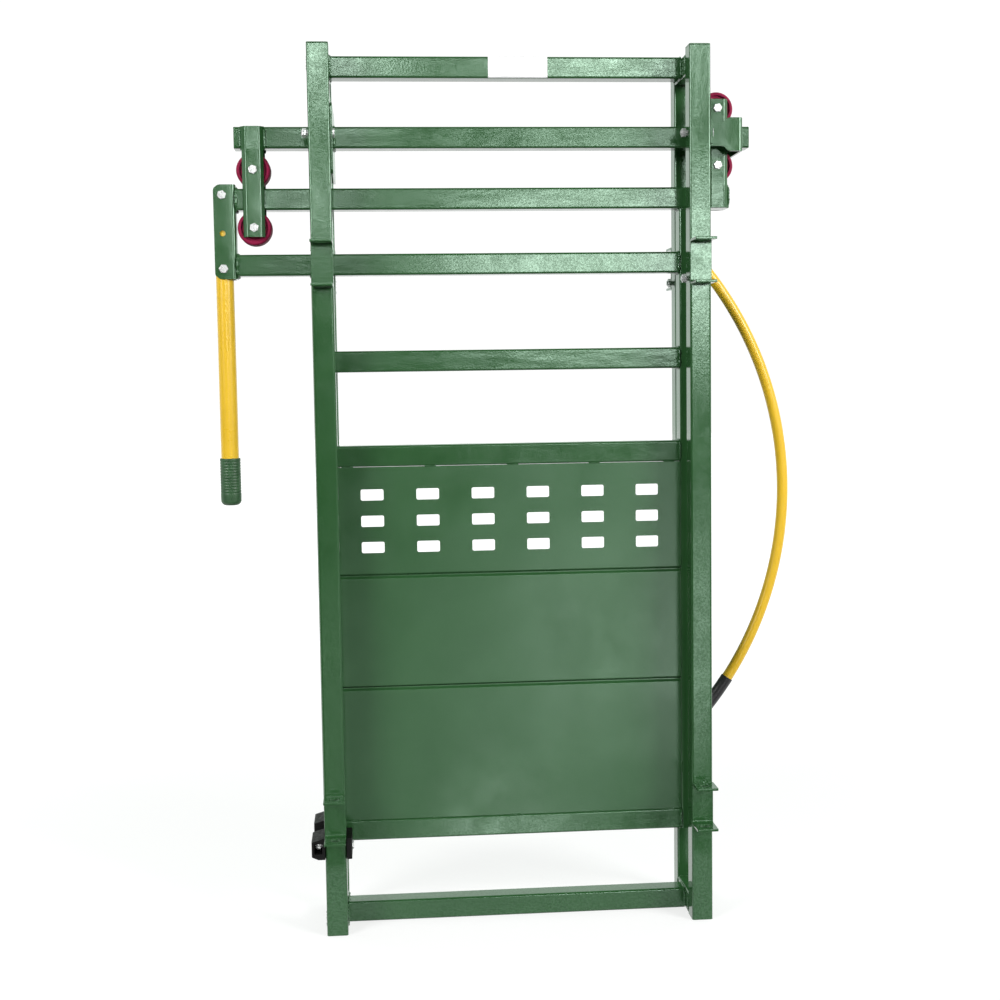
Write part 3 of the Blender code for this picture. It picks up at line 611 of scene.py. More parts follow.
# Bolts along X, with a lower nut and a shorter tail than their solids
postBoltValues = {
    **boltValues,
    "nutHeight": 0.0095,
    "tail": 0.0025,
}


def cylinder(radius, low, high, sides):
    bpy.ops.mesh.primitive_cylinder_add(
        vertices=sides, radius=radius, depth=high - low, location=(0, 0, (low + high) / 2)
    )
    return bpy.context.object


def chamferRim(piece, height, width):
    # Bevels the edges that lie wholly at one height
    def isRim(edge):
        return all(abs((piece.matrix_world @ vert.co).z - height) < tiny for vert in edge.verts)

    pick(piece, "EDGE", isRim)
    bpy.ops.mesh.bevel(offset=width, segments=2, affect="EDGES")
    leaveEdit()


def threadedEnd(low, high, values):
    # The screw's end: a core with ridges one pitch apart
    sides = values["sides"]
    pieces = [cylinder(values["shank"] * values["threadCore"], low, high, sides)]
    count = int((high - low) / values["threadPitch"])
    for index in range(count):
        middle = low + (index + 0.5) * values["threadPitch"]
        ridge = cylinder(values["shank"], middle - values["ridgeHalf"], middle + values["ridgeHalf"], sides)
        softenEdges(ridge, values["ridgeEdge"], segments=1)
        pieces.append(ridge)
    return pieces


def boltPiece(grip, values):
    # Hex bolt with nut, head below 0 and nut above grip, on the Z axis
    corner = values["flats"] / math.sqrt(3)
    headTop = -fitGap
    headLow = headTop - values["headHeight"]
    nutLow = grip + fitGap
    nutHigh = nutLow + values["nutHeight"]
    tip = nutHigh + values["tail"]
    head = cylinder(corner, headLow, headTop, sides=6)
    chamferRim(head, headLow, values["chamfer"])
    nut = cylinder(corner, nutLow, nutHigh, sides=6)
    chamferRim(nut, nutHigh, values["chamfer"])
    shank = cylinder(values["shank"], headTop, nutLow, values["sides"])
    pieces = [head, nut, shank] + threadedEnd(nutHigh, tip, values)
    for piece in (head, nut):
        softenEdges(piece, values["rim"])
    bolt = joinPieces(pieces)
    smooth(bolt, angle=30)
    return bolt


def placeBolt(template, number, name, place, direction, body, node):
    # Each bolt is turned a little further round its axis than the one before
    bolt = template.copy()
    bolt.data = template.data.copy()
    link(bolt)
    turn = Vector(direction).to_track_quat("Z", "Y").to_matrix().to_4x4()
    spin = Matrix.Rotation(math.radians(boltValues["spinDegrees"] * number), 4, "Z")
    bolt.matrix_world = Matrix.Translation(place) @ turn @ spin
    finishPiece(bolt, name, zincMetal, body, node)


# Posts with their lugs

lugValues = {
    "tops": (1.6545, 0.3460),
    "spacing": 0.0995,
    "projection": 0.065,
    "thickness": 0.006,
    "letIn": 0.001,
    "bend": 0.004,
    "bendSegments": 7,
    "holeRadius": 0.013,
    "holeReach": 0.035,
    "holeSides": 40,
    "corner": 0.002,
    "rim": 0.0007,
    "weld": 0.0033,
    "weldOut": 0.0012,
    "weldInset": 0.0022,
    "weldTrim": 0.004,
    "sideWeldInset": 0.0018,
    "sideWeldShare": 0.7,
}


def lugPlate(middleX, face, out, top, values=lugValues):
    # One strip bent twice: upper lug, web on the post's face, lower lug
    thickness = values["thickness"]
    spacing = values["spacing"]
    width = tubeValues["size"]
    webY = face + out * (thickness / 2 - values["letIn"])
    tipY = face + out * values["projection"]
    upperZ = top - thickness / 2
    bpy.ops.mesh.primitive_plane_add(size=1, location=(middleX, (webY + tipY) / 2, upperZ))
    plate = bpy.context.object
    plate.scale = (width, abs(tipY - webY), 1)
    applyPlace()
    isAtWeb, isAtTip = liesAt("Y", webY), liesAt("Y", tipY)
    pick(plate, "EDGE", isAtWeb)
    extrudeEdges((0, 0, -spacing))
    extrudeEdges((0, tipY - webY, 0))

    def rise(edge):
        return abs(edge.verts[0].co.z - edge.verts[1].co.z)

    pick(plate, "EDGE", lambda edge: rise(edge) < tiny and isAtWeb(edge))
    bend = values["bend"] + thickness / 2
    bpy.ops.mesh.bevel(offset=bend, segments=values["bendSegments"], affect="EDGES")
    turnFacesOut()
    leaveEdit()
    wall = plate.modifiers.new("wall", "SOLIDIFY")
    wall.thickness = thickness
    wall.offset = 0
    wall.use_even_offset = True
    applyAll(plate)
    pick(plate, "EDGE", lambda edge: rise(edge) > thickness / 2 and isAtTip(edge))
    bpy.ops.mesh.bevel(offset=values["corner"], segments=3, affect="EDGES")
    leaveEdit()
    bpy.ops.mesh.primitive_cylinder_add(
        vertices=values["holeSides"], radius=values["holeRadius"], depth=2 * spacing,
        location=(middleX, face + out * values["holeReach"], top - spacing / 2),
    )
    drill = bpy.context.object
    hole = plate.modifiers.new("pinHoles", "BOOLEAN")
    hole.operation = "DIFFERENCE"
    hole.solver = "EXACT"
    hole.object = drill
    applyAll(plate)
    bpy.data.objects.remove(drill, do_unlink=True)
    softenEdges(plate, values["rim"], angle=50)
    smooth(plate, angle=35)
    return plate


def lugWelds(low, high, face, out, top, values=lugValues):
    # Beads across the web's two bends and down both of its edges
    bottom = top - values["spacing"] - values["thickness"]
    bend = values["bend"] + values["thickness"]
    radius, inset, trim = values["weld"], values["weldInset"], values["weldTrim"]
    near = face + out * values["weldOut"]
    runs = []
    for level in (top - inset, bottom + inset):
        runs.append(((low.x + trim, near, level), (high.x - trim, near, level), radius))
    radius *= values["sideWeldShare"]
    for side in (low.x + values["sideWeldInset"], high.x - values["sideWeldInset"]):
        runs.append(((side, face, bottom + bend), (side, face, top - bend), radius))
    return runs


postNames = ("front_left", "front_right", "rear_left", "rear_right")
capEdge = 0.0008


def buildPost(name):
    node = name + "_post"
    low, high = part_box(node)
    size = tubeValues["size"]
    rear = name.startswith("rear")
    low.y, high.y = (low.y, low.y + size) if rear else (high.y - size, high.y)
    pieces = [squareTube("Z", list(low), list(high), ("low",))]
    face, out = (high.y, 1) if rear else (low.y, -1)
    runs = []
    for top in lugValues["tops"]:
        pieces.append(lugPlate((low.x + high.x) / 2, face, out, top))
        runs += lugWelds(low, high, face, out, top)
    pieces.append(weldCurve(name + "LugWelds", runs))
    finishPiece(joinPieces(pieces), name + "Post", postPaint, "frame", node)


for name in postNames:
    buildPost(name)
for name in postNames:
    cap = nodeCopy(name + "_post_cap", capEdge)
    finishPiece(cap, name + "Cap", greenPaint, "frame", name + "_post_cap")
print("stage: posts")


# Plain tubes: name of node, axis, open ends, body

plainTubes = [
    ("top_rail", "X", (), "frame"),
    ("bottom_rail", "X", (), "frame"),
    ("top_spacer_left", "Y", (), "frame"),
    ("top_spacer_right", "Y", (), "frame"),
    ("bottom_spacer_left", "Y", (), "frame"),
    ("bottom_spacer_right", "Y", (), "frame"),
    ("track_beam", "X", ("low", "high"), "frame"),
    ("hanger_rail", "X", ("high",), "gate"),
    ("gate_top_rail", "X", (), "gate"),
    ("gate_mid_rail", "X", (), "gate"),
    ("panel_top_rail", "X", (), "gate"),
    ("gate_bottom_rail", "X", (), "gate"),
    ("gate_stile_left", "Z", ("low",), "gate"),
    ("gate_stile_right", "Z", ("low",), "gate"),
]
for node, axis, openEnds, body in plainTubes:
    low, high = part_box(node)
    paint = {"X": railPaint, "Y": greenPaint, "Z": postPaint}[axis]
    tube = squareTube(axis, list(low), list(high), openEnds)
    finishPiece(tube, shownName(node), paint, body, node)
print("stage: tubes")


# Formed plates, smooth-edged copies of the CAD solids: name of node, body, material, width of edges

formedPlates = [
    ("beam_saddle_plate", "frame", platePaint, 0.0006),
    ("beam_end_bracket", "frame", platePaint, 0.0006),
    ("fixed_bracket_front", "frame", platePaint, 0.0006),
    ("fixed_bracket_rear", "frame", platePaint, 0.0006),
    ("moving_bracket_front", "gate", platePaint, 0.0006),
    ("moving_bracket_rear", "gate", platePaint, 0.0006),
    ("handle_channel", "gate", platePaint, 0.0006),
    ("panel_sheet", "gate", sheetPaint, 0.0003),
    ("handle_tube", "gate", yellowPaint, 0.0004),
    ("guide_block_front", "frame", blackBlock, 0.0012),
    ("guide_block_rear", "frame", blackBlock, 0.0012),
]
channelValues = {
    "edge": 0.004,
    "cover": 0.0022,
}
creaseValues = {
    "seat": 0.0535,
    "lean": 0.040,
    "smoothDegrees": 12,
}


def creaseSeat(piece, node, values=creaseValues):
    # Leans the part of a roller bracket that covers its tube a little, with a sharp crease
    low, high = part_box(node)
    hangs = node.startswith("fixed")
    level = high.z - values["seat"] if hangs else low.z + values["seat"]
    pick(piece, "FACE", lambda face: True)
    bpy.ops.mesh.bisect(plane_co=(0, 0, level), plane_no=(0, 0, 1))
    leaveEdit()
    depth = max(abs(low.y), abs(high.y))
    seatEdge = tubeValues["size"] / 2 + fitGap
    for vert in piece.data.vertices:
        past = (vert.co.z - level) if hangs else (level - vert.co.z)
        if past > 0:
            share = max(0, (abs(vert.co.y) - seatEdge) / (depth - seatEdge))
            vert.co.y -= math.copysign(past * values["lean"] * share, vert.co.y)
    smooth(piece, values["smoothDegrees"])
    pick(piece, "EDGE", liesAt("Z", level))
    bpy.ops.mesh.mark_sharp()
    leaveEdit()
    evenNormals(piece)


def coverTube(piece, node, values=channelValues):
    # The channel's left edge reaches a little past the handle tube behind it
    low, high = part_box(node)
    for vert in piece.data.vertices:
        if vert.co.x < low.x + values["edge"]:
            vert.co.x -= values["cover"]


for node, body, material, width in formedPlates:
    piece = nodeCopy(node, width)
    if node == "handle_channel":
        coverTube(piece, node)
    if "_bracket_" in node:
        creaseSeat(piece, node)
    finishPiece(piece, shownName(node), material, body, node)


labelValues = {
    "height": 0.0485,
    "thickness": 0.0003,
    "steps": 5,
}


def buildLabel(values=labelValues):
    # Film on the rail's face that runs a little way round its rounded edges
    low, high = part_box("blank_label")
    corner = tubeValues["corner"]
    flat = tubeValues["size"] / 2 - corner
    middleZ = (low.z + high.z) / 2
    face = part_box("top_rail")[0].y - fitGap
    reach = math.asin((values["height"] / 2 - flat) / corner)
    bpy.ops.mesh.primitive_plane_add(
        size=1, location=((low.x + high.x) / 2, face, middleZ), rotation=(math.radians(90), 0, 0)
    )
    label = bpy.context.object
    label.scale = (high.x - low.x, 2 * flat, 1)
    applyPlace()
    for side in (-1, 1):
        level = middleZ + side * flat
        pick(label, "EDGE", liesAt("Z", level))
        for step in range(values["steps"]):
            angle = reach * step / values["steps"]
            nextAngle = reach * (step + 1) / values["steps"]
            inward = corner * (math.cos(angle) - math.cos(nextAngle))
            rise = corner * (math.sin(nextAngle) - math.sin(angle))
            extrudeEdges((0, inward, side * rise))
        leaveEdit()
    film = label.modifiers.new("film", "SOLIDIFY")
    film.thickness = values["thickness"]
    film.offset = 1
    applyAll(label)
    smooth(label, angle=30)
    finishPiece(label, "blankLabel", labelFilm, "frame", "blank_label")


buildLabel()
print("stage: plates")


# Bolts

def boltFor(node, direction):
    # Grip length and head's place from the node's box, whose solid has the sizes of boltValues
    low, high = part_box(node)
    index = 0 if abs(direction[0]) > 0.5 else 1
    middle = (low + high) / 2
    head = boltValues["headHeight"] + fitGap
    end = boltValues["nutHeight"] + boltValues["tail"] + fitGap
    grip = (high[index] - low[index]) - head - end
    place = list(middle)
    place[index] = low[index] + head if direction[index] > 0 else high[index] - head
    return round(grip, 5), place


boltNodes = [
    ("saddle_bolt_front", (-1, 0, 0), "frame"),
    ("saddle_bolt_rear", (-1, 0, 0), "frame"),
    ("end_bracket_bolt_front", (-1, 0, 0), "frame"),
    ("end_bracket_bolt_rear", (-1, 0, 0), "frame"),
    ("guide_bolt_front", (-1, 0, 0), "frame"),
    ("guide_bolt_rear", (-1, 0, 0), "frame"),
    ("right_post_bolt_front", (-1, 0, 0), "frame"),
    ("right_post_bolt_rear", (-1, 0, 0), "frame"),
    ("handle_bolt_upper", (0, 1, 0), "gate"),
    ("handle_bolt_lower", (0, 1, 0), "gate"),
    ("fixed_upper_axle", (0, 1, 0), "frame"),
    ("fixed_lower_axle", (0, 1, 0), "frame"),
    ("moving_upper_axle", (0, 1, 0), "gate"),
    ("moving_lower_axle", (0, 1, 0), "gate"),
]
templates = {}
for number, (node, direction, body) in enumerate(boltNodes):
    grip, place = boltFor(node, direction)
    if grip not in templates:
        templates[grip] = boltPiece(grip, postBoltValues if direction[0] else boltValues)
    placeBolt(templates[grip], number, shownName(node), place, direction, body, node)
for template in templates.values():
    bpy.data.objects.remove(template, do_unlink=True)
print("stage: bolts")


# Rollers, with their axle collars

rollerValues = {
    "radius": 0.0401,
    "width": 0.050,
    "seat": 0.0310,
    "edge": 0.0015,
    "lip": 0.004,
    "shoulder": 0.0055,
    "shoulderSteps": 4,
    "sleeve": 0.0135,
    "sleeveEdge": 0.0008,
    "bore": 0.00665,
    "hubStep": 0.005,
    "recess": 0.010,
    "recessTop": 0.005,
    "recessFoot": 0.006,
    "collar": 0.011,
    "collarEdge": 0.0006,
    "collarPlay": 0.0002,
    "collarLow": 0.0253,
    "collarHigh": 0.0321,
}


def turned(name, profile, sides=72):
    # Closed ring from (radius, height) points, made from a tube of rings and turned to lie along Y
    bpy.ops.mesh.primitive_circle_add(vertices=sides, radius=profile[0][0], location=(0, 0, profile[0][1]))
    piece = bpy.context.object
    applyPlace()
    pick(piece, "EDGE", lambda edge: True)
    last = profile[0]
    for radius, height in profile[1:]:
        extrudeEdges((0, 0, height - last[1]))
        factor = radius / last[0]
        bpy.ops.transform.resize(value=(factor, factor, 1), center_override=(0, 0, 0))
        last = (radius, height)
    pick(piece, "EDGE", lambda edge: len(edge.link_faces) == 1)
    bpy.ops.mesh.bridge_edge_loops()
    turnFacesOut()
    leaveEdit()
    piece.name = name
    piece.matrix_world = Matrix.Rotation(math.radians(90), 4, "X")
    return piece


def mirrored(half):
    # Adds the other half of a profile
    return half + [(radius, -height) for radius, height in half[::-1]]


def buildRoller(name, body, carrier, values=rollerValues):
    tyreLow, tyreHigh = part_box(name + "_tyre")
    centre = (tyreLow + tyreHigh) / 2
    half = values["width"] / 2
    radius, seat, edge, shoulder = [values[key] for key in ("radius", "seat", "edge", "shoulder")]
    halfTyre = [(seat + fitGap, half - values["lip"]), (seat + fitGap, half - edge), (seat + edge, half)]
    for step in range(values["shoulderSteps"] + 1):
        angle = math.radians(90 * step / values["shoulderSteps"])
        halfTyre.append((
            radius - shoulder + shoulder * math.sin(angle),
            half - shoulder + shoulder * math.cos(angle),
        ))
    bore, sleeve, chamfer = values["bore"], values["sleeve"], values["sleeveEdge"]
    side = half - values["hubStep"]
    floor = side - values["recess"]
    halfHub = [
        (bore, half), (sleeve - chamfer, half), (sleeve, half - chamfer), (sleeve, floor),
        (seat - values["recessFoot"], floor), (seat - values["recessTop"], side), (seat, side),
    ]
    inner, outer, chamfer = bore - values["collarPlay"], values["collar"], values["collarEdge"]
    low, high = values["collarLow"], values["collarHigh"]
    collar = [
        (inner, high), (outer - chamfer, high), (outer, high - chamfer),
        (outer, low + chamfer), (outer - chamfer, low), (inner, low),
    ]
    shown = shownName(name)
    made = [
        (turned(shown + "Tyre", mirrored(halfTyre), sides=96), crimsonRoller, body, (name + "_tyre",)),
        (turned(shown + "Hub", mirrored(halfHub)), crimsonRoller, body, (name + "_hub",)),
    ]
    collars = [
        turned(shown + "Collar", collar, sides=48),
        turned(shown + "CollarRear", [(radius, -height) for radius, height in collar], sides=48),
    ]
    made.append((joinPieces(collars), zincMetal, carrier, ()))
    for piece, material, rider, nodes in made:
        smooth(piece)
        pieceName = piece.name
        piece.matrix_world = Matrix.Translation(centre) @ piece.matrix_world
        finishPiece(piece, pieceName, material, rider, *nodes)


buildRoller("fixed_upper", "roller_fixed_upper", "frame")
buildRoller("fixed_lower", "roller_fixed_lower", "frame")
buildRoller("moving_upper", "roller_moving_upper", "gate")
buildRoller("moving_lower", "roller_moving_lower", "gate")
print("stage: rollers")


# Handle grip

gripValues = {
    "ribs": 12,
    "ribDepth": 0.0007,
    "ribShares": (0.25, 0.45, 0.65, 0.95),
    "plainTop": 0.006,
    "plainEnd": 0.026,
    "edge": 0.0008,
    "rounding": 0.013,
    "roundingSteps": 8,
    "tip": (0.006, 0.0002),
    "vent": 0.0012,
    "bore": 0.0215,
    "floorInner": 0.020,
    "floorOuter": 0.0225,
}


def buildGrip(values=gripValues):
    low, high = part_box("handle_grip")
    centre = (low + high) / 2
    length = high.z - low.z
    outer = (high.x - low.x) / 2
    groove = outer - values["ribDepth"]
    bore, vent, edge, plain = [values[key] for key in ("bore", "vent", "edge", "plainTop")]
    profile = [(bore, length), (outer - edge, length), (outer, length - edge), (outer, length - plain)]
    ribbed = length - plain - values["plainEnd"]
    for rib in range(values["ribs"]):
        top = length - plain - ribbed * rib / values["ribs"]
        for radius, share in zip((groove, groove, outer, outer), values["ribShares"]):
            profile.append((radius, top - ribbed / values["ribs"] * share))
    rounding = values["rounding"]
    for step in range(1, values["roundingSteps"]):
        angle = math.radians(90) * step / values["roundingSteps"]
        profile.append((
            outer - rounding + rounding * math.cos(angle),
            rounding - rounding * math.sin(angle),
        ))
    profile += [values["tip"], (vent, 0.0), (vent, values["floorInner"]), (bore, values["floorOuter"])]
    grip = turned("handleGrip", profile, sides=64)
    smooth(grip, angle=50)
    grip.matrix_world = Matrix.Translation((centre.x, centre.y, low.z))
    finishPiece(grip, "handleGrip", gripRubber, "gate", "handle_grip")


buildGrip()


# Bow handle and its sleeve

bowValues = {
    "radius": 0.8577,
    "centreX": -0.1830,
    "centreZ": 1.049,
    "faceX": 0.4643,
    "overrun": 0.02,
    "rod": 0.01335,
    "rodSteps": 140,
    "sleeve": 0.01525,
    "sleeveReach": 0.070,
    "sleeveSteps": 30,
    "sleeveEdge": 0.0008,
    "resolution": 8,
}


def bowAngle(reach, values=bowValues):
    # Angle on the bow's arc at a distance out from the stile's face
    return math.acos((values["faceX"] + reach - values["centreX"]) / values["radius"])


def arcPiece(name, thickness, start, stop, steps, values=bowValues):
    # Rod along the bow's arc, cut flush to the stile's face
    data = newCurve(name, thickness, values["resolution"])
    spline = data.splines.new("POLY")
    spline.points.add(steps)
    for index, point in enumerate(spline.points):
        angle = start + (stop - start) * index / steps
        point.co = (
            values["centreX"] + values["radius"] * math.cos(angle), 0,
            values["centreZ"] + values["radius"] * math.sin(angle), 1,
        )
    piece = meshFrom(name, data)
    pick(piece, "FACE", lambda face: True)
    bpy.ops.mesh.bisect(
        plane_co=(values["faceX"], 0, 0), plane_no=(-1, 0, 0), use_fill=True, clear_outer=True
    )
    leaveEdit()
    return piece


def buildBow(values=bowValues):
    ends, top = bowAngle(-values["overrun"]), bowAngle(values["sleeveReach"])
    rod = arcPiece("bowHandle", values["rod"], -ends, ends, values["rodSteps"])
    smooth(rod, angle=40)
    finishPiece(rod, "bowHandle", yellowPaint, "gate", "bow_handle")
    sleeve = arcPiece("bowSleeve", values["sleeve"], -ends, -top, values["sleeveSteps"])
    softenEdges(sleeve, values["sleeveEdge"], angle=50)
    smooth(sleeve, angle=40)
    finishPiece(sleeve, "bowSleeve", blackRubber, "gate", "bow_sleeve")


buildBow()
print("stage: handles")


# Weld beads, each a run of (start, stop, radius)

beadValues = {
    "radius": 0.0026,
    "saddleRadius": 0.0032,
    "endRadius": 0.0030,
    "wideRadius": 0.0036,
    "lift": 0.001,
    "cornerShare": 0.1,
    "lowest": 0.003,
    "bracketSeat": (0.006, 0.050),
    "bracketY": 0.0262,
    "bracketOut": 0.0006,
    "stitchesX": (-0.40, -0.20, 0.0, 0.20, 0.385),
    "stitchesZ": (0.36, 0.62, 0.88, 1.08),
    "stitchHalf": 0.014,
    "stitchIn": 0.0004,
    "stitchRadius": 0.0018,
    "bowOut": 0.0015,
    "bowY": 0.0125,
    "bowHalf": 0.010,
    "bowRadius": 0.0024,
}


def ringRuns(axis, place, low, high, radius, values=beadValues):
    # Bead round a tube's four sides where its end meets a face; place is along the axis
    a, b = [index for index in range(3) if index != axisIndex[axis]]
    corners = [(low[a], low[b]), (high[a], low[b]), (high[a], high[b]), (low[a], high[b])]
    runs = []
    for index, here in enumerate(corners):
        there = corners[(index + 1) % 4]
        start, stop = [place] * 3, [place] * 3
        for side, first, last in zip((a, b), here, there):
            trim = (last - first) * values["cornerShare"]
            start[side] = first + trim
            stop[side] = last - trim
        runs.append((start, stop, radius))
    return runs


def tubeRuns(node, axis, ends, radius=beadValues["radius"], values=beadValues):
    low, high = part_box(node)
    index = axisIndex[axis]
    runs = []
    for end in ends:
        place = low[index] + values["lift"] if end == "low" else high[index] - values["lift"]
        runs += ringRuns(axis, place, low, high, radius)
    return runs


def bracketRuns(prefix, values=beadValues):
    # Beads where a bracket half's edges sit on the tube it is welded to
    near, far = values["bracketSeat"]
    runs = []
    for half, out in (("front", -1), ("rear", 1)):
        low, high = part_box(prefix + "_bracket_" + half)
        hangs = prefix == "fixed"
        seatLow, seatHigh = (high.z - far, high.z - near) if hangs else (low.z + near, low.z + far)
        y = out * values["bracketY"]
        for x in (low.x - values["bracketOut"], high.x + values["bracketOut"]):
            runs.append(((x, y, seatLow), (x, y, seatHigh), values["radius"]))
    return runs


def stitchRuns(values=beadValues):
    # Short beads along the sheet's four edges
    low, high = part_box("panel_sheet")
    y = low.y + values["stitchIn"]
    half, radius = values["stitchHalf"], values["stitchRadius"]
    runs = []
    for x in values["stitchesX"]:
        for z in (low.z, high.z):
            runs.append(((x - half, y, z), (x + half, y, z), radius))
    for z in values["stitchesZ"]:
        for x in (low.x, high.x):
            runs.append(((x, y, z - half), (x, y, z + half), radius))
    return runs


def bowRuns(values=beadValues):
    # Beads in front of and behind each end of the bow
    x = bowValues["faceX"] + values["bowOut"]
    rise = bowValues["radius"] * math.sin(bowAngle(0))
    half, radius = values["bowHalf"], values["bowRadius"]
    runs = []
    for end in (-1, 1):
        z = bowValues["centreZ"] + end * rise
        for y in (-values["bowY"], values["bowY"]):
            runs.append(((x, y, z - half), (x, y, z + half), radius))
    return runs


def frameWelds(values=beadValues):
    runs = []
    for node in ("top_rail", "bottom_rail"):
        runs += tubeRuns(node, "X", ("low", "high"))
    for node in ("top_spacer_left", "top_spacer_right", "bottom_spacer_left", "bottom_spacer_right"):
        runs += tubeRuns(node, "Y", ("low", "high"))
    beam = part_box("track_beam")
    saddle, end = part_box("beam_saddle_plate")[1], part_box("beam_end_bracket")[1]
    runs += ringRuns("X", saddle.x + values["lift"], *beam, values["saddleRadius"])
    runs += ringRuns("X", end.x + values["lift"], *beam, values["endRadius"])
    runs += bracketRuns("fixed")
    # No bead on the side that stands on the ground
    return [run for run in runs if max(run[0][2], run[1][2]) > values["lowest"]]


def gateWelds(values=beadValues):
    runs = []
    for node in ("gate_mid_rail", "panel_top_rail", "gate_bottom_rail"):
        runs += tubeRuns(node, "X", ("low", "high"))
    for node in ("hanger_rail", "gate_top_rail"):
        runs += tubeRuns(node, "X", ("low",), values["wideRadius"])
    runs += tubeRuns("gate_top_rail", "X", ("high",))
    for node in ("gate_stile_left", "gate_stile_right"):
        runs += tubeRuns(node, "Z", ("high",))
    return runs + bracketRuns("moving") + stitchRuns() + bowRuns()


finishPiece(weldCurve("frameWelds", frameWelds()), "frameWelds", greenPaint, "frame")
finishPiece(weldCurve("gateWelds", gateWelds()), "gateWelds", greenPaint, "gate")
print("stage: welds")


# Floor, world and lights

def mathNode(tree, operation, first, second=0.0, third=0.0):
    node = tree.nodes.new("ShaderNodeMath")
    node.operation = operation
    for socket, value in zip(node.inputs, (first, second, third)):
        feed(tree, socket, value)
    return node.outputs["Value"]


def fade(tree, source, start, stop):
    # 0 at start, 1 at stop, soft in between
    node = tree.nodes.new("ShaderNodeMapRange")
    node.interpolation_type = "SMOOTHSTEP"
    node.inputs["From Min"].default_value = start
    node.inputs["From Max"].default_value = stop
    tree.links.new(source, node.inputs["Value"])
    return node.outputs["Result"]


floorValues = {
    "width": 40,
    "nearEdge": -0.62,
    "farEdge": 30,
    "drop": 0.0005,
    "colour": (0.30, 0.30, 0.30, 1),
    "roughness": 0.9,
    "specular": 0.1,
    "glowNear": 0.72,
    "glowFar": 1.0,
    "glowRange": (1.2, 5.0),
}


def buildFloor(values=floorValues):
    # Grey under the lights, and glowing to white away from the part as the camera and mirrors see it
    depth = values["farEdge"] - values["nearEdge"]
    middle = (values["farEdge"] + values["nearEdge"]) / 2
    bpy.ops.mesh.primitive_plane_add(size=1, location=(0, middle, -values["drop"]))
    floor = bpy.context.object
    floor.scale = (values["width"], depth, 1)
    applyPlace()
    floor.name = "paleFloor"
    material, tree, shader = newMaterial("floorWhite")
    shader.inputs["Base Color"].default_value = values["colour"]
    shader.inputs["Roughness"].default_value = values["roughness"]
    shader.inputs["Specular IOR Level"].default_value = values["specular"]
    shader.inputs["Emission Color"].default_value = (1, 1, 1, 1)
    seen = tree.nodes.new("ShaderNodeLightPath")
    direct = mathNode(tree, "MAXIMUM", seen.outputs["Is Camera Ray"], seen.outputs["Is Glossy Ray"])
    direct = mathNode(tree, "MAXIMUM", direct, seen.outputs["Is Transmission Ray"])
    place = tree.nodes.new("ShaderNodeTexCoord")
    reach = tree.nodes.new("ShaderNodeVectorMath")
    reach.operation = "LENGTH"
    tree.links.new(place.outputs["Object"], reach.inputs[0])
    away = fade(tree, reach.outputs["Value"], *values["glowRange"])
    rise = values["glowFar"] - values["glowNear"]
    glow = mathNode(tree, "MULTIPLY_ADD", away, rise, values["glowNear"])
    feed(tree, shader.inputs["Emission Strength"], mathNode(tree, "MULTIPLY", direct, glow))
    floor.data.materials.append(material)


worldValues = {
    "cameraWhite": 1.05,
    "rearWhite": (0.95, 1.04, 0.98, 1),
    "rearFade": (-0.12, 0.10),
    "frontDim": 0.045,
    "rightSide": 0.55,
    "rightFade": (0.35, 0.85),
    "boxFade": (1.35, 0.55),
    "lowestSlope": 0.01,
    # Soft boxes on the camera's side: middle and half size as slopes across and up, brightness
    "softBoxes": [
        ((0.17, 0.077), (0.132, 0.055), 12.0),
        ((0.152, 0.228), (0.070, 0.033), 19.0),
        ((-0.022, 0.214), (0.040, 0.031), 18.0),
        ((-0.048, 0.113), (0.030, 0.018), 13.0),
        ((-0.085, 0.238), (0.024, 0.022), 11.0),
        ((0.18, -0.17), (0.10, 0.09), 2.5),
        ((0.085, -0.32), (0.045, 0.055), 4.6),
        ((0.08, -0.215), (0.20, 0.10), 0.6),
    ],
}


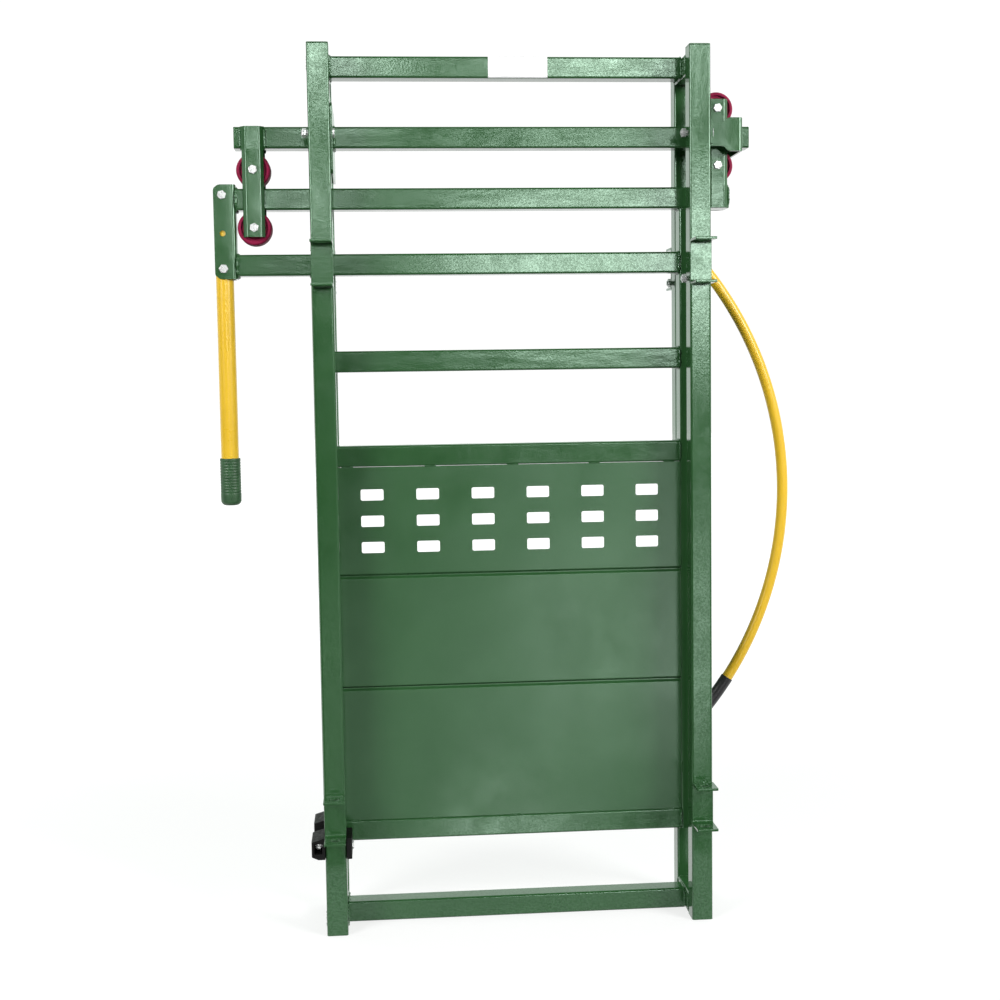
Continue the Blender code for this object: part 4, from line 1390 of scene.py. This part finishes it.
def buildWorld(values=worldValues):
    # White behind the part; on the camera's side dim, with soft boxes and a brighter right side
    world = bpy.data.worlds.new("studioWorld")
    bpy.context.scene.world = world
    world.use_nodes = True
    tree = world.node_tree
    tree.nodes.clear()
    place = tree.nodes.new("ShaderNodeTexCoord")
    split = tree.nodes.new("ShaderNodeSeparateXYZ")
    tree.links.new(place.outputs["Generated"], split.inputs["Vector"])
    x, y, z = split.outputs["X"], split.outputs["Y"], split.outputs["Z"]
    toCamera = mathNode(tree, "MAXIMUM", mathNode(tree, "MULTIPLY", y, -1.0), values["lowestSlope"])
    across = mathNode(tree, "DIVIDE", x, toCamera)
    upward = mathNode(tree, "DIVIDE", z, toCamera)
    side = fade(tree, x, *values["rightFade"])
    front = mathNode(tree, "MULTIPLY_ADD", side, values["rightSide"], values["frontDim"])
    for middle, half, brightness in values["softBoxes"]:
        a = mathNode(tree, "MULTIPLY_ADD", across, 1 / half[0], -middle[0] / half[0])
        b = mathNode(tree, "MULTIPLY_ADD", upward, 1 / half[1], -middle[1] / half[1])
        distance = mathNode(tree, "ADD", mathNode(tree, "MULTIPLY", a, a), mathNode(tree, "MULTIPLY", b, b))
        glow = fade(tree, distance, *values["boxFade"])
        front = mathNode(tree, "MULTIPLY_ADD", glow, brightness, front)
    behind = fade(tree, y, *values["rearFade"])
    mixed = colourMix(tree, "MIX", behind, front, values["rearWhite"])
    soft = tree.nodes.new("ShaderNodeBackground")
    tree.links.new(mixed, soft.inputs["Color"])
    plain = tree.nodes.new("ShaderNodeBackground")
    plain.inputs["Color"].default_value = (1, 1, 1, 1)
    plain.inputs["Strength"].default_value = values["cameraWhite"]
    path = tree.nodes.new("ShaderNodeLightPath")
    choose = tree.nodes.new("ShaderNodeMixShader")
    tree.links.new(path.outputs["Is Camera Ray"], choose.inputs["Fac"])
    tree.links.new(soft.outputs["Background"], choose.inputs[1])
    tree.links.new(plain.outputs["Background"], choose.inputs[2])
    output = tree.nodes.new("ShaderNodeOutputWorld")
    tree.links.new(choose.outputs["Shader"], output.inputs["Surface"])


lampValues = {
    "target": (0, 0, 1.1),
    "size": 2.0,
    "lamps": [
        ("softLeft", (-3.6, -3.2, 3.0), 182),
        ("softRight", (3.6, -3.2, 3.0), 206),
    ],
}


def buildLamps(values=lampValues):
    for name, place, energy in values["lamps"]:
        data = bpy.data.lights.new(name, "AREA")
        data.shape = "SQUARE"
        data.size = values["size"]
        data.energy = energy
        lamp = bpy.data.objects.new(name, data)
        lamp.location = place
        aim = Vector(values["target"]) - Vector(place)
        lamp.rotation_euler = aim.to_track_quat("-Z", "Y").to_euler()
        link(lamp)


buildFloor()
buildWorld()
buildLamps()
bpy.context.scene.view_settings.view_transform = "Standard"
print("stage: studio")
